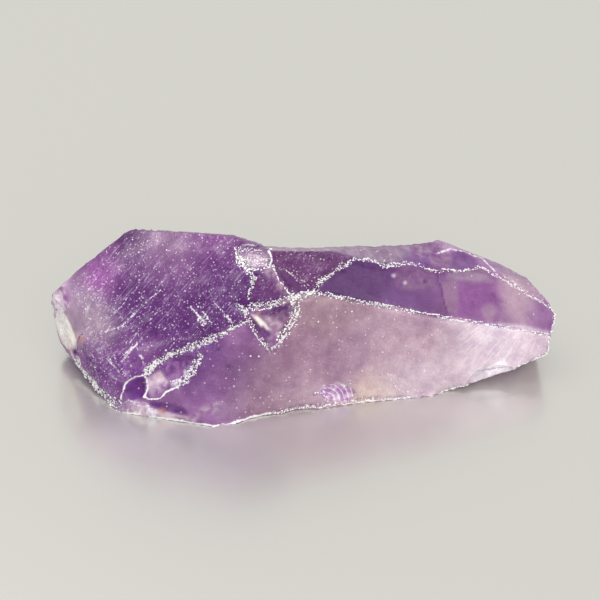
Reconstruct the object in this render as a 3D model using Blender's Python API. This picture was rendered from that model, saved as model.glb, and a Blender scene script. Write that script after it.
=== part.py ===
"""Rough amethyst: one broken piece of crystal, about 50 mm long, lying on its flat underside.

X runs along the length of the stone, Y from its front to its back and Z up. The origin is on the
ground, under the middle of the piece. Lengths in the constants are millimetres.
"""

import math

import bmesh
import bpy
from mathutils import Matrix, Vector

MM = 0.001
PIECE = "amethyst"

# Where the middle of the footprint lies in the coordinates below.
FOOTPRINT_MIDDLE = Vector((0.15, 10.08, 0.0))

# Corners of the broken faces.
UPPER_LEFT_SHOULDER = (-15.9, 10.9, 16.0)
SHOULDER_BEND = (-17.0, 11.0, 15.0)
TOP_BEND = (-9.1, 9.3, 16.3)
TOP_CORNER = (-5.6, 8.0, 16.6)
FRONT_KNEE = (-5.3, 4.0, 9.7)
RIDGE_JUNCTION = (1.6, 6.3, 11.3)
WINDOW_TOP = (5.2, 9.7, 13.3)
WINDOW_UPPER_EDGE = (14.5, 11.1, 11.0)
WINDOW_LOWER_EDGE = (14.2, 7.5, 7.5)
WINDOW_REAR_CORNER = (17.5, 12.0, 10.7)
TIP = (25.2, 10.2, 6.2)
TIP_BROW = (24.7, 8.8, 4.9)
TIP_CHIN = (24.4, 8.1, 2.8)
TIP_REAR = (24.5, 12.2, 6.6)
REAR_HUMP = (13.7, 15.8, 11.4)
REAR_SHOULDER = (19.9, 15.0, 9.0)
REAR_SADDLE = (3.3, 11.6, 13.1)
REAR_TOP = (-3.5, 10.2, 14.6)
REAR_TIP_SIDE = (22.6, 14.2, 7.9)
TOP_RIM = (-4.2, 7.1, 16.1)
DUSKY_RIM = (-2.7, 8.2, 15.1)
CREST = (0.9, 9.3, 14.3)
CREST_REAR = (0.7, 11.0, 13.6)
LEFT_BROW = (-22.8, 9.9, 10.6)
LEFT_TEMPLE = (-24.5, 11.2, 8.0)
LEFT_CHEEK = (-24.9, 11.9, 6.5)
LEFT_JAW = (-24.7, 12.4, 3.3)

# Corners of the small bevels on the front.
BEVEL_FOOT = (-4.5, 5.0, 11.5)
BEVEL_TOP = (-3.6, 6.3, 13.9)
BEVEL_RIGHT = (-0.9, 5.8, 11.4)
RIM_TOP = (-5.8, 8.0, 16.5)
RIM_FOOT = (-2.6, 8.3, 15.1)
RIM_REAR = (-4.0, 11.0, 14.4)

# Corners of the foot, on or just above the ground.
FOOT_LEFT_REAR = (-24.4, 12.4, 1.2)
FOOT_LEFT = (-20.5, 5.9, 0.3)
FOOT_FRONT_LEFT = (-17.7, 2.6, 0.0)
FOOT_FRONT = (-7.7, 0.2, 0.0)
FOOT_FRONT_RIGHT = (13.0, 4.9, 0.0)
FOOT_BEND_RIGHT = (12.8, 4.8, 0.0)
FOOT_RIGHT = (17.7, 6.2, 0.7)
FOOT_LIFTED = (20.2, 6.9, 1.3)
FOOT_RIGHT_REAR = (23.6, 12.0, 0.6)
HEEL_LEFT = (-20.0, 17.4, 0.0)
HEEL_MIDDLE = (-8.0, 20.5, 0.0)
HEEL_CENTRE = (6.0, 19.8, 0.0)
REAR_FOOT = (4.0, 19.5, 0.0)
HEEL_RIGHT = (18.0, 19.2, 0.0)
HEEL_TIP = (23.8, 14.5, 0.0)
RIDGE_LEFT_END = (-13.4, 4.1, 5.2)
FOOT_STEP_LEFT = (-17.5, 2.6, 1.3)
FOOT_STEP_RIGHT = (-9.9, 0.6, 0.9)

# Bulges of the hidden rear between the corners.
REAR_BULGE_LEFT = (-15.0, 16.6, 9.0)
REAR_BULGE_MIDDLE = (-3.0, 17.6, 7.0)
REAR_BULGE_RIGHT = (17.0, 18.6, 5.5)

# The flat-sided notch under the ridge.
NOTCH_RIM = ((-4.7, 4.4, 10.5), (0.1, 5.8, 10.7), (-2.6, 3.9, 6.6))
NOTCH_HEART = (-2.9, 5.5, 8.9)

# How far a notch cutter runs past the surface, in depths of the notch.
NOTCH_OVERRUN = 2.2

# How thick a scar's cutter is, above its sheet.
SHEET_HEIGHT = 9.0

# Chips: middle on the surface, direction out of the stone, width and depth.
CHIPS = (
    ("hump_chip", (15.9, 13.5, 10.9), (0.15, -0.05, 1.0), 5.6, 0.4),
    ("upper_edge_chip_a", (7.0, 9.9, 12.8), (0.2, -0.3, 0.9), 2.4, 0.25),
    ("upper_edge_chip_b", (9.6, 10.3, 12.1), (0.2, -0.3, 0.9), 1.9, 0.2),
    ("upper_edge_chip_c", (17.0, 11.8, 10.7), (0.3, -0.3, 0.9), 2.6, 0.25),
    ("upper_edge_chip_d", (21.6, 11.3, 8.6), (0.4, -0.3, 0.8), 2.6, 0.25),
    ("ridge_chip_a", (-7.0, 4.0, 8.7), (-0.2, -0.9, 0.2), 1.9, 0.25),
    ("front_edge_chip_a", (-3.6, 1.6, 0.1), (0.3, -0.9, 0.0), 4.6, 0.4),
    ("front_edge_chip_b", (-0.6, 2.4, 0.1), (0.3, -0.9, 0.0), 4.2, 0.45),
    ("front_edge_chip_c", (14.7, 5.6, 0.2), (0.2, -0.9, 0.0), 2.8, 0.25),
    ("front_edge_chip_d", (-11.5, 0.9, 0.2), (-0.2, -0.9, -0.1), 2.8, 0.2),
    ("front_edge_chip_e", (-15.2, 1.8, 0.1), (-0.2, -0.9, -0.1), 2.4, 0.2),
    ("end_pit_a", (-23.8, 10.6, 8.6), (-0.7, -0.7, 0.2), 2.8, 0.3),
    ("end_pit_b", (-24.0, 10.7, 4.6), (-0.9, -0.5, 0.0), 3.8, 0.35),
    ("end_pit_c", (-22.3, 8.4, 2.3), (-0.8, -0.6, 0.0), 2.4, 0.45),
    ("end_pit_d", (-21.0, 6.5, 1.0), (-0.8, -0.6, 0.0), 2.4, 0.3),
    ("end_pit_e", (-19.3, 4.4, 0.5), (-0.7, -0.7, 0.0), 2.4, 0.3),
    ("rib_notch_a", (-21.3, 9.9, 11.5), (-0.5, -0.2, 0.8), 1.7, 0.3),
    ("rib_notch_b", (-19.9, 10.2, 12.6), (-0.5, -0.2, 0.8), 1.5, 0.25),
    ("rear_hollow_left", (-15.5, 16.3, 7.5), (-0.4, 0.7, 0.4), 9.0, 0.7),
    ("rear_hollow_right", (19.5, 17.2, 4.8), (0.4, 0.8, 0.3), 7.5, 0.6),
    ("rear_foot_chip", (-12.5, 18.6, 0.6), (-0.2, 1.0, 0.0), 5.0, 0.6),
)

# Dished chips: outline on the surface, direction out of the stone, depth, how far in from the rim
# the full depth is reached, and the cell of the cutter's sheet.
DISHES = (
    (
        "lower_left_dish",
        (
            FRONT_KNEE,
            (-9.1, 4.2, 7.2),
            RIDGE_LEFT_END,
            (-17.3, 2.9, 1.9),
            (-14.3, 1.8, 1.1),
            (-10.4, 0.8, 0.8),
            (-6.8, 0.0, -0.6),
            (-2.5, -0.5, 1.5),
            (-1.5, 2.6, 10.4),
        ),
        (-0.25, -0.83, 0.5),
        1.0,
        3.6,
        0.8,
    ),
    (
        "dusky_dish",
        (
            DUSKY_RIM,
            (-2.2, 7.3, 14.0),
            (-0.6, 7.1, 12.8),
            RIDGE_JUNCTION,
            (3.2, 8.1, 12.3),
            WINDOW_TOP,
            (1.5, 9.4, 14.1),
        ),
        (0.25, -0.66, 0.7),
        0.55,
        2.0,
        0.6,
    ),
    (
        "crown_dish",
        (
            (-5.7, 7.6, 16.0),
            (-3.0, 8.6, 15.1),
            (-2.7, 7.4, 14.3),
            (-3.7, 6.7, 14.1),
            (-4.9, 6.4, 14.2),
            (-6.0, 7.2, 15.2),
        ),
        (0.25, -0.65, 0.7),
        0.6,
        0.9,
        0.4,
    ),
    (
        "dark_dish",
        (
            (-2.2, 7.4, 13.9),
            (-1.2, 7.3, 13.0),
            (0.7, 6.7, 11.8),
            (-0.9, 6.1, 11.6),
            (-1.8, 6.4, 12.8),
        ),
        (0.36, -0.65, 0.7),
        0.35,
        0.6,
        0.35,
    ),
    (
        "ridge_dish",
        (
            (-13.2, 4.1, 4.9),
            (-11.6, 4.2, 5.5),
            (-10.1, 4.1, 5.6),
            (-10.2, 3.8, 4.7),
            (-10.8, 3.5, 3.6),
            (-11.9, 3.4, 2.9),
            (-12.7, 3.7, 3.4),
        ),
        (-0.1, -0.93, 0.3),
        0.55,
        1.0,
        0.4,
    ),
    (
        "bright_dish",
        (
            (-14.7, 2.8, 1.7),
            (-14.8, 3.3, 2.4),
            (-14.5, 3.6, 3.4),
            (-13.7, 3.9, 4.3),
            (-12.9, 3.9, 4.2),
            (-12.8, 3.6, 3.2),
            (-13.0, 3.1, 2.3),
            (-13.6, 2.7, 1.8),
        ),
        (-0.05, -0.9, 0.42),
        0.4,
        0.8,
        0.35,
    ),
    (
        "scooped_dish",
        (
            (-17.7, 2.5, 1.0),
            (-17.4, 3.2, 2.1),
            (-16.6, 3.6, 2.9),
            (-15.8, 3.8, 3.5),
            (-14.9, 3.6, 3.5),
            (-14.7, 2.8, 2.4),
            (-15.2, 2.1, 1.4),
        ),
        (-0.25, -0.85, 0.45),
        0.7,
        1.2,
        0.4,
    ),
    (
        "shell_dish",
        (
            (1.6, 3.5, 1.5),
            (2.2, 3.8, 2.1),
            (3.5, 4.2, 2.3),
            (4.8, 4.3, 1.9),
            (5.3, 4.2, 1.2),
            (5.1, 4.0, 0.7),
            (4.4, 3.8, 0.3),
            (2.9, 3.5, 0.7),
        ),
        (0.2, -0.93, 0.3),
        0.3,
        0.9,
        0.35,
    ),
    (
        "heel_dish",
        (
            (16.0, 5.9, 0.4),
            (17.1, 6.4, 1.9),
            (19.6, 7.0, 2.4),
            (21.2, 7.3, 1.7),
            (19.2, 6.6, 0.0),
        ),
        (0.2, -0.9, 0.0),
        0.4,
        0.8,
        0.45,
    ),
)

# How far a dish's cutter runs past its outline, and how thick it is.
DISH_OVERRUN = 1.4
DISH_HEIGHT = 3.0

BLOCK_CORNERS = (
    UPPER_LEFT_SHOULDER,
    SHOULDER_BEND,
    TOP_BEND,
    TOP_CORNER,
    FRONT_KNEE,
    RIDGE_JUNCTION,
    WINDOW_TOP,
    WINDOW_UPPER_EDGE,
    WINDOW_LOWER_EDGE,
    WINDOW_REAR_CORNER,
    TIP,
    TIP_BROW,
    TIP_CHIN,
    TIP_REAR,
    REAR_HUMP,
    REAR_SHOULDER,
    REAR_SADDLE,
    REAR_TOP,
    REAR_TIP_SIDE,
    TOP_RIM,
    LEFT_BROW,
    LEFT_TEMPLE,
    LEFT_CHEEK,
    LEFT_JAW,
    FOOT_LEFT_REAR,
    FOOT_LEFT,
    FOOT_FRONT_LEFT,
    FOOT_FRONT,
    FOOT_FRONT_RIGHT,
    FOOT_RIGHT,
    FOOT_LIFTED,
    FOOT_RIGHT_REAR,
    HEEL_LEFT,
    HEEL_MIDDLE,
    HEEL_CENTRE,
    HEEL_RIGHT,
    HEEL_TIP,
    FOOT_STEP_LEFT,
    FOOT_STEP_RIGHT,
    REAR_BULGE_LEFT,
    REAR_BULGE_MIDDLE,
    REAR_BULGE_RIGHT,
)


def in_frame(point):
    """A corner in metres, measured from the middle of the footprint."""
    return (Vector(point) - FOOTPRINT_MIDDLE) * MM


def clear_scene():
    for obj in list(bpy.data.objects):
        bpy.data.objects.remove(obj, do_unlink=True)


def collection(name):
    made = bpy.data.collections.new(name)
    bpy.context.scene.collection.children.link(made)
    return made


def mesh_object(name, shape, home):
    """Turns a bmesh into an object of this collection, faces outward."""
    bmesh.ops.recalc_face_normals(shape, faces=shape.faces)
    mesh = bpy.data.meshes.new(name)
    shape.to_mesh(mesh)
    shape.free()
    obj = bpy.data.objects.new(name, mesh)
    home.objects.link(obj)
    return obj


def block(home):
    """The rough outline: the smallest convex body around all the corners."""
    shape = bmesh.new()
    for corner in BLOCK_CORNERS:
        shape.verts.new(in_frame(corner))
    hull = bmesh.ops.convex_hull(shape, input=shape.verts)
    inside = [item for item in hull["geom_interior"] if isinstance(item, bmesh.types.BMVert)]
    bmesh.ops.delete(shape, geom=inside, context="VERTS")
    return mesh_object(PIECE, shape, home)


def face_frame(a, b, c, outward):
    """Centre of the circle through three corners, its radius, and axes along a-b, across and outward."""
    first = b - a
    second = c - a
    normal = first.cross(second)
    centre = a + (
        second.length_squared * normal.cross(first) + first.length_squared * second.cross(normal)
    ) / (2 * normal.length_squared)
    normal.normalize()
    if normal.dot(outward) < 0:
        normal.negate()
    along = first.normalized()
    across = normal.cross(along)
    return centre, (a - centre).length, along, across, normal


def scar(name, corners, outward, radius, reach, cell, home):
    """A cutter for one conchoidal fracture.

    Its sheet is part of a ball through three corners, hollowing the stone when the radius is
    positive. Reach is how far the sheet runs from the middle of the corners: back and forward
    along the line of the first two corners, then down and up across it.
    """
    a, b, c = (in_frame(corner) for corner in corners)
    centre, rim, along, across, normal = face_frame(a, b, c, Vector(outward))
    middle = (a + b + c) / 3 - centre
    middle_along = middle.dot(along)
    middle_across = middle.dot(across)
    back, forward, down, up = (length * MM for length in reach)
    ball = abs(radius) * MM
    drop = math.sqrt(ball * ball - rim * rim)
    columns = max(2, round((back + forward) / (cell * MM)))
    rows = max(2, round((down + up) / (cell * MM)))
    shape = bmesh.new()
    bmesh.ops.create_grid(shape, x_segments=columns, y_segments=rows, size=0.5)
    sheet = list(shape.verts)
    lid = bmesh.ops.extrude_face_region(shape, geom=list(shape.faces))
    raised = [item for item in lid["geom"] if isinstance(item, bmesh.types.BMVert)]
    for vert in sheet + raised:
        u = middle_along - back + (vert.co.x + 0.5) * (back + forward)
        v = middle_across - down + (vert.co.y + 0.5) * (down + up)
        bend = drop - math.sqrt(max(ball * ball - u * u - v * v, 0.0))
        if radius < 0:
            bend = -bend
        vert.co = centre + along * u + across * v + normal * bend
    for vert in raised:
        vert.co += normal * SHEET_HEIGHT * MM
    obj = mesh_object(name, shape, home)
    obj.hide_render = True
    obj.display_type = "WIRE"
    return obj


def pit(name, centre, outward, width, depth, home):
    """A cutter for a small chip: a ball that bites a hollow this wide and deep out of a face."""
    ball = (width * width / 4 + depth * depth) / (2 * depth)
    middle = in_frame(centre) + Vector(outward).normalized() * (ball - depth) * MM
    fine = 4 if ball > 1.3 * width else 3
    shape = bmesh.new()
    bmesh.ops.create_icosphere(
        shape, subdivisions=fine, radius=ball * MM, matrix=Matrix.Translation(middle)
    )
    obj = mesh_object(name, shape, home)
    obj.hide_render = True
    obj.display_type = "WIRE"
    return obj


def notch(name, rim, heart, home):
    """A cutter for a chip with flat sides: they meet at its heart and pass through its rim."""
    bottom = in_frame(heart)
    shape = bmesh.new()
    shape.verts.new(bottom)
    for corner in rim:
        shape.verts.new(bottom + (in_frame(corner) - bottom) * NOTCH_OVERRUN)
    bmesh.ops.convex_hull(shape, input=shape.verts)
    obj = mesh_object(name, shape, home)
    obj.hide_render = True
    obj.display_type = "WIRE"
    return obj


def depth_inside(u, v, outline):
    """How far a point is inside a flat outline, negative outside."""
    nearest = math.inf
    inside = False
    for (u0, v0), (u1, v1) in zip(outline, outline[1:] + outline[:1]):
        run = ((u - u0) * (u1 - u0) + (v - v0) * (v1 - v0)) / ((u1 - u0) ** 2 + (v1 - v0) ** 2)
        run = min(max(run, 0.0), 1.0)
        nearest = min(nearest, math.hypot(u - u0 - run * (u1 - u0), v - v0 - run * (v1 - v0)))
        if (v0 > v) != (v1 > v) and u < u0 + (v - v0) * (u1 - u0) / (v1 - v0):
            inside = not inside
    return nearest if inside else -nearest


def dish(name, outline, outward, depth, rim, cell, home):
    """A cutter for a chip with this outline: its floor slopes down from the rim to its full depth."""
    corners = [Vector(corner) for corner in outline]
    middle = sum(corners, Vector()) / len(corners)
    normal = Vector(outward).normalized()
    along = (corners[1] - corners[0]).cross(normal).cross(normal).normalized()
    across = normal.cross(along)
    arms = [corner - middle for corner in corners]
    flat = [(arm.dot(along), arm.dot(across)) for arm in arms]
    left = min(u for u, v in flat) - DISH_OVERRUN
    low = min(v for u, v in flat) - DISH_OVERRUN
    length = max(u for u, v in flat) + DISH_OVERRUN - left
    width = max(v for u, v in flat) + DISH_OVERRUN - low
    shape = bmesh.new()
    bmesh.ops.create_grid(
        shape, x_segments=round(length / cell), y_segments=round(width / cell), size=0.5
    )
    floor = list(shape.verts)
    lid = bmesh.ops.extrude_face_region(shape, geom=list(shape.faces))
    raised = [item for item in lid["geom"] if isinstance(item, bmesh.types.BMVert)]
    for vert in floor + raised:
        u = left + (vert.co.x + 0.5) * length
        v = low + (vert.co.y + 0.5) * width
        nearness = [1 / (0.04 + (u - u0) ** 2 + (v - v0) ** 2) for u0, v0 in flat]
        lift = sum(near * arm.dot(normal) for near, arm in zip(nearness, arms)) / sum(nearness)
        inside = depth_inside(u, v, flat) / rim
        sink = depth * (1 - (1 - min(inside, 1.0)) ** 2) if inside > 0 else 2 * depth * inside
        place = middle + along * u + across * v + normal * (lift - sink)
        vert.co = in_frame(place)
    for vert in raised:
        vert.co += normal * DISH_HEIGHT * MM
    obj = mesh_object(name, shape, home)
    obj.hide_render = True
    obj.display_type = "WIRE"
    return obj


def cut(piece, cutter):
    boolean = piece.modifiers.new(cutter.name, "BOOLEAN")
    boolean.operation = "DIFFERENCE"
    boolean.solver = "EXACT"
    boolean.object = cutter


def amethyst_material():
    """Clear violet crystal: transmission and the refractive index of quartz."""
    material = bpy.data.materials.new("violet_quartz")
    material.use_nodes = True
    surface = material.node_tree.nodes["Principled BSDF"]
    surface.inputs["Base Color"].default_value = (0.52, 0.30, 0.66, 1.0)
    surface.inputs["Roughness"].default_value = 0.2
    surface.inputs["IOR"].default_value = 1.544
    surface.inputs["Transmission Weight"].default_value = 0.8
    return material


def main():
    clear_scene()
    parts = collection(PIECE)
    cutters = collection("cutters")
    cutters.hide_render = True
    piece = block(parts)
    piece.data.materials.append(amethyst_material())
    scars = (
        (
            "upper_left_scar",
            (UPPER_LEFT_SHOULDER, FRONT_KNEE, FOOT_STEP_LEFT),
            (-0.3, -0.8, 0.4),
            110,
            (22, 20, 16, 16),
            1.8,
        ),
        (
            "long_front_scar",
            (FRONT_KNEE, FOOT_FRONT, WINDOW_LOWER_EDGE),
            (0.2, -0.9, 0.3),
            110,
            (14, 14, 26, 26),
            1.7,
        ),
        (
            "right_front_scar",
            (WINDOW_LOWER_EDGE, FOOT_BEND_RIGHT, TIP_BROW),
            (0.2, -0.9, 0.3),
            150,
            (14, 14, 12, 20),
            1.8,
        ),
        (
            "window_scar",
            (RIDGE_JUNCTION, WINDOW_LOWER_EDGE, WINDOW_UPPER_EDGE),
            (0.3, -0.7, 0.6),
            600,
            (9.6, 18, 10, 12),
            1.7,
        ),
        (
            "bevel_scar",
            (BEVEL_FOOT, BEVEL_TOP, BEVEL_RIGHT),
            (0.2, -0.9, 0.4),
            12,
            (3, 3, 3, 3),
            0.7,
        ),
        (
            "crest_scar",
            (DUSKY_RIM, CREST, CREST_REAR),
            (0.1, 0.4, 0.9),
            60,
            (3.0, 9, 6, 6),
            1.2,
        ),
        (
            "rim_scar",
            (RIM_TOP, RIM_FOOT, RIM_REAR),
            (0.4, 0.1, 0.9),
            80,
            (4.0, 1.7, 4.0, 5.0),
            1.2,
        ),
        (
            "saddle_scar",
            (WINDOW_TOP, WINDOW_UPPER_EDGE, REAR_HUMP),
            (0, 0, 1),
            60,
            (10, 12, 9, 9),
            1.6,
        ),
        (
            "rear_scar",
            (REAR_TOP, REAR_HUMP, REAR_FOOT),
            (0, 0.9, 0.4),
            48.6,
            (26, 22, 20, 20),
            1.9,
        ),
    )
    for name, corners, outward, radius, reach, cell in scars:
        cut(piece, scar(name, corners, outward, radius, reach, cell, cutters))
    cut(piece, notch("front_notch", NOTCH_RIM, NOTCH_HEART, cutters))
    for name, outline, outward, depth, rim, cell in DISHES:
        cut(piece, dish(name, outline, outward, depth, rim, cell, cutters))
    for name, centre, outward, width, depth in CHIPS:
        cut(piece, pit(name, centre, outward, width, depth, cutters))


main()
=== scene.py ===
"""Looks of the rough amethyst: one broken piece of violet quartz on a pale floor.

The piece is a fine mesh laid over the solid, with its ridges crushed, its hollows rippled and its
tones carried as attributes. X runs along the stone, Y from front to back and Z up. Lengths in the
constants are millimetres, measured before the stone is moved to the middle of its footprint.
"""

import math

import bmesh
import bpy
import numpy as np
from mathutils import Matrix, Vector, noise
from mathutils.bvhtree import BVHTree
from mathutils.kdtree import KDTree

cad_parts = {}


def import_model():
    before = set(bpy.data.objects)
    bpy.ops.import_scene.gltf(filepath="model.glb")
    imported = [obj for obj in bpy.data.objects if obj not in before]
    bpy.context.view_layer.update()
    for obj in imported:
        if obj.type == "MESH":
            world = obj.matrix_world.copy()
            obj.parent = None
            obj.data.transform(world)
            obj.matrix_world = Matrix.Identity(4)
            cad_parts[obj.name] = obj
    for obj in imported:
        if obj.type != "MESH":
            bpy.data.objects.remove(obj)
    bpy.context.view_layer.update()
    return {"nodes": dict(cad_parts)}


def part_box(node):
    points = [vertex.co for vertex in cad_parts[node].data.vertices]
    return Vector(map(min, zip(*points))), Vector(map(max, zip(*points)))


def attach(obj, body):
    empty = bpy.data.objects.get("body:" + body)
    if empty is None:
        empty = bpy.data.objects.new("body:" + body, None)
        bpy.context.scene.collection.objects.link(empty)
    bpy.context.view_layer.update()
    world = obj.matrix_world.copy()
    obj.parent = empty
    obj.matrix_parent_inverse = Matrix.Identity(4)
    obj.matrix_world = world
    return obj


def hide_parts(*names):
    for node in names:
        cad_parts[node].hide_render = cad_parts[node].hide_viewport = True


MM = 0.001
FOOTPRINT_MIDDLE = np.array((0.15, 10.08, 0.0))

# Tones of the stone, as red, green and blue on a screen.
TONES = {
    "shadow": (58, 34, 76),
    "midnight": (84, 14, 82),
    "ink": (94, 36, 108),
    "violet": (106, 58, 132),
    "dusk": (106, 68, 107),
    "deep_violet": (102, 66, 120),
    "grape": (116, 80, 137),
    "dusty_violet": (131, 93, 151),
    "plum": (148, 103, 155),
    "iris": (148, 104, 172),
    # orchid is painted glow: the violet of light shining through the quartz.
    "lilac": (150, 111, 158),
    "orchid": (170, 108, 176),
    "wisteria": (168, 128, 172),
    "mauve": (166, 138, 157),
    "dusky_rose": (183, 152, 166),
    "taupe": (184, 161, 160),
    "ash": (160, 145, 160),
    "heather": (178, 158, 176),
    "rose": (196, 173, 181),
    "blush": (211, 197, 201),
    "pale_rose": (227, 218, 223),
    "straw": (212, 196, 178),
    "cream": (236, 228, 214),
    "rust": (196, 142, 92),
    "frost": (240, 236, 240),
    "snow": (252, 249, 252),
}

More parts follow.
